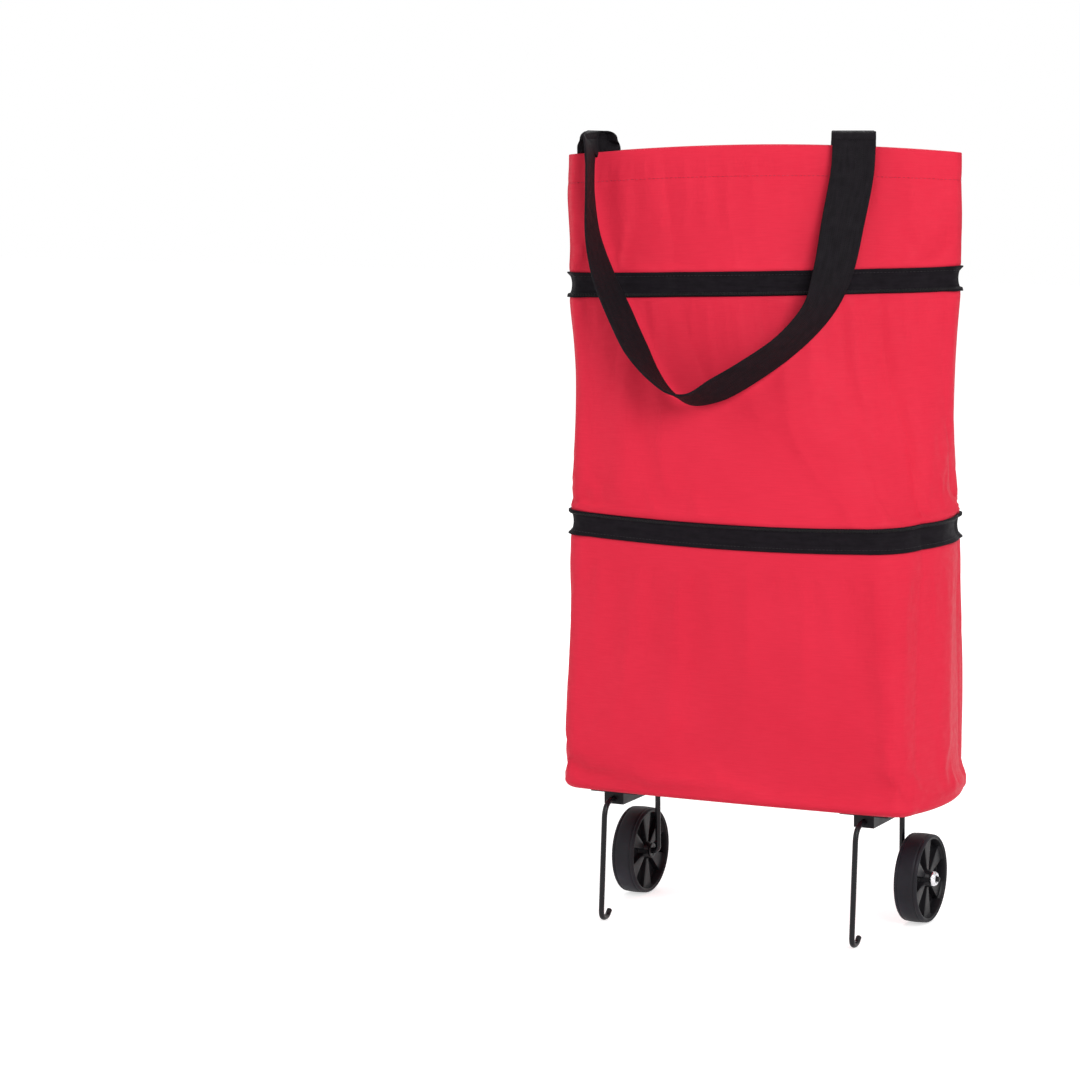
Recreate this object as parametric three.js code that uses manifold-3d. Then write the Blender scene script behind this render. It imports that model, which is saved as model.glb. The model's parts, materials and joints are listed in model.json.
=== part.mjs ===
// Expandable shopping trolley bag: a cloth bag in three sections joined by two zip bands,
// carried on two folding wire leg frames with a wheel each. Millimetres, +X along the base,
// +Y to the back, +Z up, origin on the ground under the middle of the base.
import * as THREE from 'three';
import { mergeVertices } from 'three/addons/utils/BufferGeometryUtils.js';
import Module from 'manifold-3d';

const wasm = await Module();
wasm.setup();

// ---------------------------------------------------------------- driving dimensions
const GAP = 0.3; // between pieces that touch
const BASE_WIDTH = 340;
const BASE_DEPTH = 154;
const LOWER_SECTION = 226;
const MIDDLE_SECTION = 200;
const UPPER_SECTION = 109;
const BAND_HEIGHT = 20;
const FABRIC = 1.8; // cloth with its lining
const TAPE = 2.4; // zip tape folded over the cloth edges
const TEETH_HEIGHT = 3.2;
const TEETH_OUT = 1.4;

const BOARD_THICKNESS = 4;
const BOARD_INSET = 6; // board edge to the inside of the walls

const WIRE = 5; // leg wire diameter
const LEG_INSET = 48.5; // side of the base to the wire frame's plane
const FRONT_OVERHANG = 3; // front of the base to the front leg's centre
const REAR_INSET = 48; // back of the base to the rear leg's centre, which is the axle's too
const FOOT_SPLAY = 9; // how far the front leg leans forward at its foot
const FOOT_BEND = 8;
const FOOT_LENGTH = 12; // along the ground
const FOOT_TIP = 4.5; // its end turns up this far
const TIP_BEND = 3;
const SHOULDER_BEND = 15;
const PIVOT_SEAT = 8.5; // centre of the level run, the fold axis, to the underside of the bag

const WHEEL_DIAMETER = 80;
const WHEEL_WIDTH = 22;
const TYRE_DEPTH = 2; // rim seat to the shoulder of the tread
const TREAD_CROWN = 1;
const TREAD_EDGE = 2; // width of the tyre's sloping edge on each side
const TYRE_LIP = 0.6; // how far the edge falls from the shoulder
const RIM_WALL = 1.6;
const RIM_SETBACK = 1; // rim's edge behind the wheel's face
const HUB_RADIUS = 9;
const HUB_TAPER = 2;
const WEB = 3; // disc behind the spokes
const SPOKES = 6;
const SPOKE_ROOT = 3; // width of a spoke at the hub
const SPOKE_RIM = 16; // and at the rim
const SPOKE_SINK = 3; // how far a spoke reaches into the hub
const SPOKE_SHARE = 0.5; // spoke's share of the wheel's width
const WHEEL_STANDOFF = 7; // wire frame's plane to the wheel's inner face
const AXLE_CLEARANCE = 0.35;
const WASHER_RADIUS = 7;
const WASHER = 1.2;
const NUT_RADIUS = 7;
const NUT = 4.5;
const NUT_SKIRT = 0.55; // share of its height that is straight
const NUT_CROWN = 5; // radius of its outer face
const NUT_NOTCHES = 6;
const NUT_NOTCH = 2;
const AXLE_TIP = 2.5; // axle beyond the push nut

const BRACKET_WIDTH = 19;
const BRACKET_CLEAR = 3; // wire's bends to the bracket's ends
const BRACKET_DROP = 5; // wire centre to the underside of the block
const WHEEL_HEADROOM = 22.5; // top of the wheel to the underside of the block
const FLANGE = 3;
const FLANGE_WIDTH = 46;
const RIVET = 4;
const RIVET_HEAD = 9;
const RIVET_HEAD_HEIGHT = 1.6;
const RIVET_INSET = 12; // rivet centre to the flange's end
const RIVET_SINK = 2.1; // rivet heads lie this deep in the board, so the load sits flat

const WEBBING = 38;
const WEBBING_THICKNESS = 1.8;
const FOLD_RADIUS = 6; // the strap's loose turn over the rim
const FOLD_HEIGHT = 6; // fold's centre above the rim
const SEWN_LENGTH = 34; // how far the strap's ends reach down inside
const STRAP_INSET = 21.6; // left end of the base's diagonal to the left strap's edge
const STRAP_SPACING = 224;

const SLIDER_LENGTH = 15;
const SLIDER_HEIGHT = 9;
const SLIDER_THICKNESS = 4;
const SLIDER_DROP = 2.2; // below the teeth's edge
const SLIDER_PARK = 0.24; // share of the back run, from the right end, where the slider waits
const PULL_LENGTH = 26;
const PULL_WIDTH = 7;
const PULL_THICKNESS = 1.6;
const SNAP_RADIUS = 6;
const SNAP_DEPTH = 2.4;
const SNAP_DROP = 15; // below the rim
const SNAP_SEAT = 1.1; // cloth's inner face to the snap, which lies flat against the curve

// ---------------------------------------------------------------- derived heights and directions
const PIVOT_HEIGHT = WHEEL_DIAMETER + WHEEL_HEADROOM + BRACKET_DROP;
const GROUND_CLEARANCE = PIVOT_HEIGHT + PIVOT_SEAT; // ground to the underside of the bag
const LOWER_BAND = GROUND_CLEARANCE + LOWER_SECTION;
const MIDDLE_START = LOWER_BAND + BAND_HEIGHT;
const UPPER_BAND = MIDDLE_START + MIDDLE_SECTION;
const UPPER_START = UPPER_BAND + BAND_HEIGHT;
const RIM = UPPER_START + UPPER_SECTION;
const HALF_SPACING = BASE_WIDTH / 2 - LEG_INSET; // middle of the bag to each wire frame's plane
const FRONT_LEG = -BASE_DEPTH / 2 - FRONT_OVERHANG; // Y of the front leg at the top
const REAR_LEG = BASE_DEPTH / 2 - REAR_INSET;
const AXLE_BEND = WHEEL_STANDOFF - WASHER - 2 * GAP; // the axle is straight from its washer on
const BRACKET_FRONT = FRONT_LEG + SHOULDER_BEND + BRACKET_CLEAR;
const BRACKET_LENGTH = REAR_LEG - SHOULDER_BEND - BRACKET_CLEAR - BRACKET_FRONT;
const RIVET_SIDE = (BRACKET_WIDTH + FLANGE_WIDTH) / 4; // rivet centre to the wire frame's plane
const WHEEL_RADIUS = WHEEL_DIAMETER / 2;

// The empty bag closes along the diagonal of its base, so plan shapes are laid out in
// (along, out): along the diagonal, and square to it towards the front right.
const SKEW = Math.atan2(BASE_DEPTH, BASE_WIDTH);
const HALF_DIAGONAL = Math.hypot(BASE_WIDTH, BASE_DEPTH) / 2;
const CORNER_ALONG = HALF_DIAGONAL * Math.cos(2 * SKEW);
const CORNER_OUT = HALF_DIAGONAL * Math.sin(2 * SKEW);
const LEFT_STRAP = STRAP_INSET + WEBBING / 2 - HALF_DIAGONAL; // strap centres along the mouth
const RIGHT_STRAP = LEFT_STRAP + STRAP_SPACING;

// Stations of the loft. along and out are shares of the base corner's own place, end is the
// share of the half diagonal, puff is the thickness kept all round the folded shape, the
// rounds are in millimetres, and bulge is how far a front side swells. tilt and sag lift the
// ends of a level line: tilt at one end, sag at both.
const STATIONS = [
  {
    h: GROUND_CLEARANCE,
    along: 1, out: 1, end: 1, puff: 0, endRound: 14, round: 16, bulge: 0, tilt: 0, sag: 0,
  },
  {
    h: LOWER_BAND,
    along: 0.94, out: 0.76, end: 0.965, puff: 4, endRound: 20, round: 34, bulge: 8, tilt: -1, sag: 6,
  },
  {
    h: MIDDLE_START,
    along: 0.91, out: 0.72, end: 0.965, puff: 4, endRound: 20, round: 38, bulge: 8, tilt: -1, sag: 6,
  },
  {
    h: MIDDLE_START + 0.3 * MIDDLE_SECTION,
    along: 0.68, out: 0.56, end: 0.955, puff: 5, endRound: 20, round: 55, bulge: 7, tilt: 0, sag: 4,
  },
  {
    h: MIDDLE_START + 0.6 * MIDDLE_SECTION,
    along: 0.27, out: 0.41, end: 0.955, puff: 6, endRound: 20, round: 80, bulge: 6, tilt: 1, sag: 2,
  },
  {
    h: UPPER_BAND,
    along: 0.1, out: 0.26, end: 0.98, puff: 7.5, endRound: 20, round: 90, bulge: 5, tilt: 3, sag: 0,
  },
  {
    h: UPPER_START,
    along: 0.08, out: 0.24, end: 0.98, puff: 7.5, endRound: 20, round: 90, bulge: 5, tilt: 3, sag: 0,
  },
  {
    h: RIM,
    along: 0, out: 0.12, end: 0.975, puff: 7.5, endRound: 16, round: 90, bulge: 3, tilt: 1, sag: -9,
  },
];
const CORNER_STEPS = 4;
const SIDE_STEPS = 3;
const LOOP = 4 * (CORNER_STEPS + SIDE_STEPS);

// ---------------------------------------------------------------- materials
function finish(color, roughness, metalness) {
  return new THREE.MeshStandardMaterial({ color, roughness, metalness });
}

const RED_CLOTH = finish(0xe2304a, 0.75, 0);
const BLACK_TAPE = finish(0x1c191d, 0.8, 0);
const BLACK_WEBBING = finish(0x1f1b20, 0.85, 0);
const BLACK_PLASTIC = finish(0x242327, 0.45, 0);
const TREAD = finish(0x2a292d, 0.6, 0);
const BLACK_WIRE = finish(0x232229, 0.35, 0.3);
const BRIGHT_STEEL = finish(0xc9c9cc, 0.25, 1);
const BOARD = finish(0x2b292b, 0.7, 0);

// ---------------------------------------------------------------- plan sections of the bag
function stationAt(height) {
  const last = STATIONS.length - 1;
  let i = 0;
  while (i < last - 1 && STATIONS[i + 1].h < height) i += 1;
  const low = STATIONS[i];
  const high = STATIONS[i + 1];
  const share = THREE.MathUtils.clamp((height - low.h) / (high.h - low.h), 0, 1);
  const at = {};
  for (const key of Object.keys(low)) at[key] = THREE.MathUtils.lerp(low[key], high[key], share);
  return at;
}

function stepFrom(from, to, distance) {
  return to.clone().sub(from).normalize().multiplyScalar(distance).add(from);
}

// The folded shape at a height, as (along, out) points: left end, front corner, right end
// and back corner, each rounded, with a swelling side after it.
function foldedShape(at) {
  const end = at.end * HALF_DIAGONAL - at.puff;
  const corner = new THREE.Vector2(at.along * CORNER_ALONG, at.out * CORNER_OUT);
  const vertices = [new THREE.Vector2(-end, 0), corner, new THREE.Vector2(end, 0), corner.clone().negate()];
  const points = [];
  for (let k = 0; k < 4; k += 1) {
    const here = vertices[k];
    const before = vertices[(k + 3) % 4];
    const after = vertices[(k + 1) % 4];
    const round = k % 2 ? at.round : at.endRound;
    const nextRound = k % 2 ? at.endRound : at.round;
    const start = stepFrom(here, after, round);
    const stop = stepFrom(after, here, nextRound);
    const arc = new THREE.QuadraticBezierCurve(stepFrom(here, before, round), here, start);
    for (let i = 0; i < CORNER_STEPS; i += 1) points.push(arc.getPoint(i / CORNER_STEPS));
    const swell = new THREE.Vector2(-(stop.y - start.y), stop.x - start.x).normalize();
    const front = k < 2 ? 1 : 0; // only the visible front sides swell; the back hangs straight
    for (let i = 0; i < SIDE_STEPS; i += 1) {
      const share = i / SIDE_STEPS;
      const lift = front * at.bulge * 4 * share * (1 - share);
      points.push(start.clone().lerp(stop, share).addScaledVector(swell, lift));
    }
  }
  return points;
}

// The bag's outline at a height, moved inwards by a distance along the local normals.
function outline(height, inset = 0) {
  const at = stationAt(height);
  const points = foldedShape(at);
  return points.map((point, i) => {
    const before = points[(i + LOOP - 1) % LOOP];
    const after = points[(i + 1) % LOOP];
    const inward = new THREE.Vector2(after.y - before.y, before.x - after.x).normalize();
    return point.clone().addScaledVector(inward, inset - at.puff);
  });
}

function place(along, out, z) {
  const c = Math.cos(SKEW);
  const s = Math.sin(SKEW);
  return new THREE.Vector3(along * c + out * s, along * s - out * c, z);
}

function liftAt(height, along) {
  const at = stationAt(height);
  const share = along / HALF_DIAGONAL;
  return at.tilt * share + at.sag * share * share;
}

function ring(height, inset) {
  return outline(height, inset).map((p) => place(p.x, p.y, height + liftAt(height, p.x)));
}

// How far the front of the bag stands out at a place along the mouth.
function frontOut(along, height) {
  const points = outline(height).slice(0, LOOP / 2 + 3);
  for (let i = 0; i + 1 < points.length; i += 1) {
    const a = points[i];
    const b = points[i + 1];
    if (a.y >= 0 && a.x <= along && b.x >= along) {
      return THREE.MathUtils.mapLinear(along, a.x, b.x, a.y, b.y);
    }
  }
  return 0;
}

// How far the back of the bag stands out at a place along the mouth, as a positive number.
function backOut(along, height) {
  const points = outline(height).map((p) => new THREE.Vector2(p.x, -p.y));
  const back = [...points.slice(LOOP / 2), points[0], points[1], points[2]].reverse();
  for (let i = 0; i + 1 < back.length; i += 1) {
    const a = back[i];
    const b = back[i + 1];
    if (a.y >= 0 && a.x <= along && b.x >= along) {
      return THREE.MathUtils.mapLinear(along, a.x, b.x, a.y, b.y);
    }
  }
  return 0;
}

// ---------------------------------------------------------------- mesh helpers
function geometryOf(positions, indices) {
  const geometry = new THREE.BufferGeometry();
  const numbers = positions.flatMap((p) => [p.x, p.y, p.z]);
  geometry.setAttribute('position', new THREE.Float32BufferAttribute(numbers, 3));
  geometry.setIndex(indices);
  return geometry;
}

// A closed solid between rows of equal length: outer[r][c] faces out, inner[r][c] is behind it.
function sheetSolid(outer, inner) {
  const rows = outer.length;
  const columns = outer[0].length;
  const positions = [...outer.flat(), ...inner.flat()];
  const behind = rows * columns;
  const indices = [];
  const quad = (a, b, c, d) => indices.push(a, b, c, a, c, d);
  const id = (r, c) => r * columns + c;
  for (let r = 0; r + 1 < rows; r += 1) {
    for (let c = 0; c + 1 < columns; c += 1) {
      quad(id(r, c), id(r, c + 1), id(r + 1, c + 1), id(r + 1, c));
      quad(behind + id(r, c), behind + id(r + 1, c), behind + id(r + 1, c + 1), behind + id(r, c + 1));
    }
    const end = columns - 1;
    quad(id(r, 0), id(r + 1, 0), behind + id(r + 1, 0), behind + id(r, 0));
    quad(id(r, end), behind + id(r, end), behind + id(r + 1, end), id(r + 1, end));
  }
  for (let c = 0; c + 1 < columns; c += 1) {
    const top = rows - 1;
    quad(id(0, c), behind + id(0, c), behind + id(0, c + 1), id(0, c + 1));
    quad(id(top, c), id(top, c + 1), behind + id(top, c + 1), behind + id(top, c));
  }
  return geometryOf(positions, indices);
}

// A closed ring solid: each profile is one loop of points, in order round the section.
function loopSolid(loops) {
  const count = loops[0].length;
  const indices = [];
  for (let k = 0; k < loops.length; k += 1) {
    const here = k * count;
    const next = ((k + 1) % loops.length) * count;
    for (let i = 0; i < count; i += 1) {
      const j = (i + 1) % count;
      indices.push(here + i, next + j, here + j, here + i, next + i, next + j);
    }
  }
  return geometryOf(loops.flat(), indices);
}

function solidOf(geometry) {
  const bare = geometry.clone();
  bare.deleteAttribute('normal');
  bare.deleteAttribute('uv');
  const merged = mergeVertices(bare, 1e-4);
  return new wasm.Manifold(
    new wasm.Mesh({
      numProp: 3,
      vertProperties: new Float32Array(merged.attributes.position.array),
      triVerts: new Uint32Array(merged.index.array),
    }),
  );
}

function geometryFrom(solid) {
  const mesh = solid.getMesh();
  const geometry = new THREE.BufferGeometry();
  geometry.setAttribute('position', new THREE.BufferAttribute(new Float32Array(mesh.vertProperties), 3));
  geometry.setIndex(new THREE.BufferAttribute(new Uint32Array(mesh.triVerts), 1));
  return geometry;
}

function cut(geometry, ...tools) {
  return geometryFrom(tools.reduce((solid, tool) => solid.subtract(solidOf(tool)), solidOf(geometry)));
}

function join(geometry, ...others) {
  return geometryFrom(others.reduce((solid, other) => solid.add(solidOf(other)), solidOf(geometry)));
}

function boxAt(width, depth, height, x, y, z) {
  return new THREE.BoxGeometry(width, depth, height).translate(x, y, z);
}

function uprightCylinder(radius, low, high, x, y, sides) {
  const cylinder = new THREE.CylinderGeometry(radius, radius, high - low, sides);
  return cylinder.rotateX(Math.PI / 2).translate(x, y, (low + high) / 2);
}

// A lathe about the X axis: each point is [radius, x].
function latheAboutX(profile, segments) {
  const points = profile.map(([radius, x]) => new THREE.Vector2(radius, x));
  return new THREE.LatheGeometry(points, segments).rotateZ(-Math.PI / 2);
}

const trolley = new THREE.Group();

function add(name, geometry, material, parent = trolley) {
  const mesh = new THREE.Mesh(geometry, material);
  mesh.name = name;
  parent.add(mesh);
  return mesh;
}

// ---------------------------------------------------------------- cloth panels
// Each side of the bag runs from the middle of one corner to the middle of the next.
const SIDES = ['front', 'right', 'back', 'left'];

function sideColumns(side) {
  const first = side * (CORNER_STEPS + SIDE_STEPS) + CORNER_STEPS / 2;
  return Array.from({ length: CORNER_STEPS + SIDE_STEPS + 1 }, (_, i) => (first + i) % LOOP);
}

// Cuts a narrow seam gap off both ends of a row, so that neighbouring panels stay clear.
function trimRow(row) {
  const end = row.length - 1;
  const trimmed = row.map((p) => p.clone());
  trimmed[0].lerp(row[1], GAP / 2 / row[0].distanceTo(row[1]));
  trimmed[end].lerp(row[end - 1], GAP / 2 / row[end].distanceTo(row[end - 1]));
  return trimmed;
}

function panel(name, side, from, to, rows) {
  const columns = sideColumns(side);
  const heights = Array.from({ length: rows + 1 }, (_, r) => THREE.MathUtils.lerp(from, to, r / rows));
  const rowAt = (height, inset) => {
    const points = ring(height, inset);
    return trimRow(columns.map((c) => points[c]));
  };
  const outer = heights.map((height) => rowAt(height, 0));
  const inner = heights.map((height) => rowAt(height, FABRIC));
  add(name, sheetSolid(outer, inner), RED_CLOTH);
}

function sectionPanels(section, from, to, rows) {
  SIDES.forEach((side, k) => {
    const kind = k % 2 ? 'gusset' : 'panel';
    panel(`${section}_${side}_${kind}`, k, from, to, rows);
  });
}

sectionPanels('lower', GROUND_CLEARANCE, LOWER_BAND - GAP, 4);
sectionPanels('middle', MIDDLE_START + GAP, UPPER_BAND - GAP, 6);
sectionPanels('upper', UPPER_START + GAP, RIM, 3);

// ---------------------------------------------------------------- zip bands
function band(name, low, high, innerInset, outerInset, material) {
  const loops = Array.from({ length: LOOP }, () => []);
  const corners = [[low, outerInset], [high, outerInset], [high, innerInset], [low, innerInset]];
  for (const [height, inset] of corners) {
    ring(height, inset).forEach((point, i) => loops[i].push(point));
  }
  add(name, loopSolid(loops), material);
}

const TAPE_OUT = (TAPE - FABRIC) / 2; // the tape stands this far proud of the cloth
band('lower_zip_tape', LOWER_BAND, MIDDLE_START, FABRIC + TAPE_OUT, -TAPE_OUT, BLACK_TAPE);
band('upper_zip_tape', UPPER_BAND, UPPER_START, FABRIC + TAPE_OUT, -TAPE_OUT, BLACK_TAPE);

const TEETH_BACK = -TAPE_OUT - GAP;
const TEETH_FACE = TEETH_BACK - TEETH_OUT;
const LOWER_TEETH = MIDDLE_START - TEETH_HEIGHT;
const UPPER_TEETH = UPPER_BAND + TEETH_HEIGHT;
band('lower_zip_teeth', LOWER_TEETH, MIDDLE_START, TEETH_BACK, TEETH_FACE, BLACK_PLASTIC);
band('upper_zip_teeth', UPPER_BAND, UPPER_TEETH, TEETH_BACK, TEETH_FACE, BLACK_PLASTIC);

// The slider waits on the straight back run of the lower band, below the teeth's edge.
const SLIDER_Z = LOWER_TEETH - SLIDER_HEIGHT / 2 - SLIDER_DROP;
const backRun = outline(SLIDER_Z);
const runStart = backRun[2 * (CORNER_STEPS + SIDE_STEPS) + CORNER_STEPS];
const runEnd = backRun[3 * (CORNER_STEPS + SIDE_STEPS)];
const parked = runStart.clone().lerp(runEnd, SLIDER_PARK);
const sliderPlace = place(parked.x, parked.y, SLIDER_Z + liftAt(SLIDER_Z, parked.x));
const runDirection = place(runEnd.x, runEnd.y, 0).sub(place(runStart.x, runStart.y, 0));
const runHeading = Math.atan2(runDirection.y, runDirection.x);

const slider = new THREE.Group();
slider.position.copy(sliderPlace);
slider.rotation.z = runHeading;
trolley.add(slider);

// In the slider's own axes +X is along the band and -Y is out of the bag's back. A staple
// stands out of the slider's face and the pull tab's top bar is caught behind it.
const SLIDER_STANDOFF = TAPE_OUT + 0.8;
const SLIDER_FACE = -SLIDER_STANDOFF - SLIDER_THICKNESS;
const PULL_PLAY = 0.75; // between the tab's bar and the slider's face
const PULL_PIVOT = SLIDER_FACE - PULL_THICKNESS / 2 - PULL_PLAY;
const STAPLE = 1.4;
const STAPLE_WIDTH = 2.4;
const STAPLE_SPAN = SLIDER_HEIGHT - STAPLE;
const STAPLE_PLAY = 0.45;
const STAPLE_REACH = PULL_PIVOT - PULL_THICKNESS / 2 - STAPLE_PLAY;
const WINDOW_PLAY = 0.6; // the tab's window round the staple

function zipSlider() {
  const middle = SLIDER_FACE + SLIDER_THICKNESS / 2;
  const body = boxAt(SLIDER_LENGTH, SLIDER_THICKNESS, SLIDER_HEIGHT, 0, middle, 0);
  const depth = SLIDER_FACE - STAPLE_REACH + STAPLE;
  const legs = [-1, 1].map((end) => (
    boxAt(STAPLE_WIDTH, depth + 1, STAPLE, 0, SLIDER_FACE - (depth - 1) / 2, (end * STAPLE_SPAN) / 2)
  ));
  const run = boxAt(STAPLE_WIDTH, STAPLE, STAPLE_SPAN, 0, STAPLE_REACH - STAPLE / 2, 0);
  return join(body, ...legs, run);
}

function pullTab() {
  const bar = PULL_THICKNESS / 2 + 0.1;
  const half = PULL_WIDTH / 2;
  const windowHalf = STAPLE_WIDTH / 2 + WINDOW_PLAY;
  const stapleCorner = Math.hypot((STAPLE_SPAN + STAPLE) / 2, PULL_PIVOT - STAPLE_REACH + STAPLE);
  const windowEnd = -stapleCorner - WINDOW_PLAY;
  const shape = new THREE.Shape();
  shape.moveTo(-half, bar);
  shape.lineTo(-half, -PULL_LENGTH + half);
  shape.absarc(0, -PULL_LENGTH + half, half, Math.PI, 2 * Math.PI, false);
  shape.lineTo(half, bar);
  shape.closePath();
  const window = new THREE.Path();
  window.moveTo(-windowHalf, -bar);
  window.lineTo(-windowHalf, windowEnd);
  window.lineTo(windowHalf, windowEnd);
  window.lineTo(windowHalf, -bar);
  window.closePath();
  shape.holes.push(window);
  const options = { depth: PULL_THICKNESS, bevelEnabled: false, curveSegments: 4 };
  const tab = new THREE.ExtrudeGeometry(shape, options);
  return tab.rotateX(Math.PI / 2).translate(0, PULL_PIVOT + PULL_THICKNESS / 2, 0);
}

add('zip_slider', zipSlider(), BRIGHT_STEEL, slider);
add('zip_pull_tab', pullTab(), BRIGHT_STEEL, slider);

// ---------------------------------------------------------------- floor, board and their rivets
function plateShape(height, inset) {
  return outline(height, inset).map((p) => place(p.x, p.y, 0));
}

function flatPlate(inset, low, high) {
  const corners = plateShape(GROUND_CLEARANCE, inset).map((p) => new THREE.Vector2(p.x, p.y));
  const options = { depth: high - low, bevelEnabled: false };
  const plate = new THREE.ExtrudeGeometry(new THREE.Shape(corners), options);
  return plate.translate(0, 0, low);
}

const FLOOR_TOP = GROUND_CLEARANCE + FABRIC;
const BOARD_LOW = FLOOR_TOP + GAP;
const BOARD_TOP = BOARD_LOW + BOARD_THICKNESS;
const FLANGE_TOP = GROUND_CLEARANCE - GAP;
const FLANGE_LOW = FLANGE_TOP - FLANGE;
const RIVET_HOLE = RIVET / 2 + 1.5 * GAP;
const bracketEnds = [BRACKET_FRONT + RIVET_INSET, BRACKET_FRONT + BRACKET_LENGTH - RIVET_INSET];

function rivetPlaces(side) {
  const columns = [-RIVET_SIDE, RIVET_SIDE].map((offset) => side * HALF_SPACING + offset);
  return columns.flatMap((x) => bracketEnds.map((y) => [x, y]));
}

const allRivets = [...rivetPlaces(-1), ...rivetPlaces(1)];
const holesBetween = (low, high) => (
  allRivets.map(([x, y]) => uprightCylinder(RIVET_HOLE, low, high, x, y, 8))
);

add('floor_panel', cut(flatPlate(FABRIC + GAP, GROUND_CLEARANCE, FLOOR_TOP),
  ...holesBetween(GROUND_CLEARANCE - 1, FLOOR_TOP + 1)), RED_CLOTH);
const RIVET_SEAT = BOARD_TOP - RIVET_SINK;
const headRecesses = allRivets.map(([x, y]) => (
  uprightCylinder(RIVET_HEAD / 2 + GAP, RIVET_SEAT, BOARD_TOP + 1, x, y, 12)
));
add('base_board', cut(flatPlate(FABRIC + BOARD_INSET, BOARD_LOW, BOARD_TOP),
  ...holesBetween(BOARD_LOW - 1, BOARD_TOP + 1), ...headRecesses), BOARD);

function rivet(x, y) {
  const shank = RIVET / 2;
  const head = RIVET_HEAD / 2;
  const low = FLANGE_LOW - GAP;
  const high = RIVET_SEAT + GAP;
  const profile = [
    [0, low - RIVET_HEAD_HEIGHT],
    [head * 0.6, low - RIVET_HEAD_HEIGHT],
    [head, low - RIVET_HEAD_HEIGHT * 0.4],
    [head, low],
    [shank, low],
    [shank, high],
    [head, high],
    [head, high + RIVET_HEAD_HEIGHT * 0.4],
    [head * 0.6, high + RIVET_HEAD_HEIGHT],
    [0, high + RIVET_HEAD_HEIGHT],
  ];
  const points = profile.map(([radius, z]) => new THREE.Vector2(radius, z));
  return new THREE.LatheGeometry(points, 8).rotateX(Math.PI / 2).translate(x, y, 0);
}

// ---------------------------------------------------------------- brackets and leg frames
const BORE = WIRE / 2 + GAP;

function bracket(side) {
  const x = side * HALF_SPACING;
  const middleY = BRACKET_FRONT + BRACKET_LENGTH / 2;
  const low = PIVOT_HEIGHT - BRACKET_DROP;
  const high = FLANGE_LOW + 1; // the block reaches a little into the flange
  const flangeZ = (FLANGE_LOW + FLANGE_TOP) / 2;
  const block = boxAt(BRACKET_WIDTH, BRACKET_LENGTH, high - low, x, middleY, (low + high) / 2);
  const flange = boxAt(FLANGE_WIDTH, BRACKET_LENGTH, FLANGE, x, middleY, flangeZ);
  const bore = new THREE.CylinderGeometry(BORE, BORE, BRACKET_LENGTH + 2, 16);
  bore.translate(x, middleY, PIVOT_HEIGHT);
  const holes = rivetPlaces(side).map(([hx, hy]) => (
    uprightCylinder(RIVET_HOLE, FLANGE_LOW - 1, FLANGE_TOP + 1, hx, hy, 8)
  ));
  return cut(join(block, flange), bore, ...holes);
}

// A path of straight runs joined by round bends, for the leg wire.
function bentPath(corners) {
  const path = new THREE.CurvePath();
  let from = corners[0].at;
  for (let i = 1; i < corners.length; i += 1) {
    const { at, bend = 0 } = corners[i];
    const after = corners[i + 1]?.at;
    if (!after) {
      path.add(new THREE.LineCurve3(from, at));
      break;
    }
    const entry = at.clone().addScaledVector(from.clone().sub(at).normalize(), bend);
    const leave = at.clone().addScaledVector(after.clone().sub(at).normalize(), bend);
    path.add(new THREE.LineCurve3(from, entry));
    path.add(new THREE.QuadraticBezierCurve3(entry, at, leave));
    from = leave;
  }
  return path;
}

const WHEEL_INNER = WHEEL_STANDOFF; // distances outboard of the wire frame's plane
const WHEEL_OUTER = WHEEL_INNER + WHEEL_WIDTH;
const NUT_INNER = WHEEL_OUTER + GAP;
const AXLE_END = NUT_INNER + NUT + AXLE_TIP;

function legWire(side) {
  const x = side * HALF_SPACING;
  const low = WIRE / 2;
  const foot = FRONT_LEG - FOOT_SPLAY;
  const at = (dx, y, z) => new THREE.Vector3(x + side * dx, y, z);
  const heel = foot + FOOT_LENGTH;
  const corners = [
    { at: at(0, heel + FOOT_TIP, low + FOOT_TIP) },
    { at: at(0, heel, low), bend: TIP_BEND },
    { at: at(0, foot, low), bend: FOOT_BEND },
    { at: at(0, FRONT_LEG, PIVOT_HEIGHT), bend: SHOULDER_BEND },
    { at: at(0, REAR_LEG, PIVOT_HEIGHT), bend: SHOULDER_BEND },
    { at: at(0, REAR_LEG, WHEEL_RADIUS), bend: AXLE_BEND },
    { at: at(AXLE_END, REAR_LEG, WHEEL_RADIUS) },
  ];
  const section = new THREE.Shape().absarc(0, 0, WIRE / 2, 0, 2 * Math.PI, false);
  const options = { steps: 54, curveSegments: 4, extrudePath: bentPath(corners) };
  return new THREE.ExtrudeGeometry(section, options);
}

// ---------------------------------------------------------------- wheels
const SEAT = WHEEL_RADIUS - TREAD_CROWN - TYRE_DEPTH; // radius where the tyre meets the rim
const AXLE_BORE = WIRE / 2 + AXLE_CLEARANCE;
const WHEEL_SEGMENTS = 30;

function tyre() {
  const half = WHEEL_WIDTH / 2;
  const shoulder = WHEEL_RADIUS - TREAD_CROWN;
  const inner = SEAT + GAP;
  return latheAboutX([
    [inner, -half],
    [shoulder - TYRE_LIP, -half],
    [shoulder, -half + TREAD_EDGE],
    [WHEEL_RADIUS - TREAD_CROWN / 4, -half / 2],
    [WHEEL_RADIUS, 0],
    [WHEEL_RADIUS - TREAD_CROWN / 4, half / 2],
    [shoulder, half - TREAD_EDGE],
    [shoulder - TYRE_LIP, half],
    [inner, half],
    [inner, -half],
  ], WHEEL_SEGMENTS);
}

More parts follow.
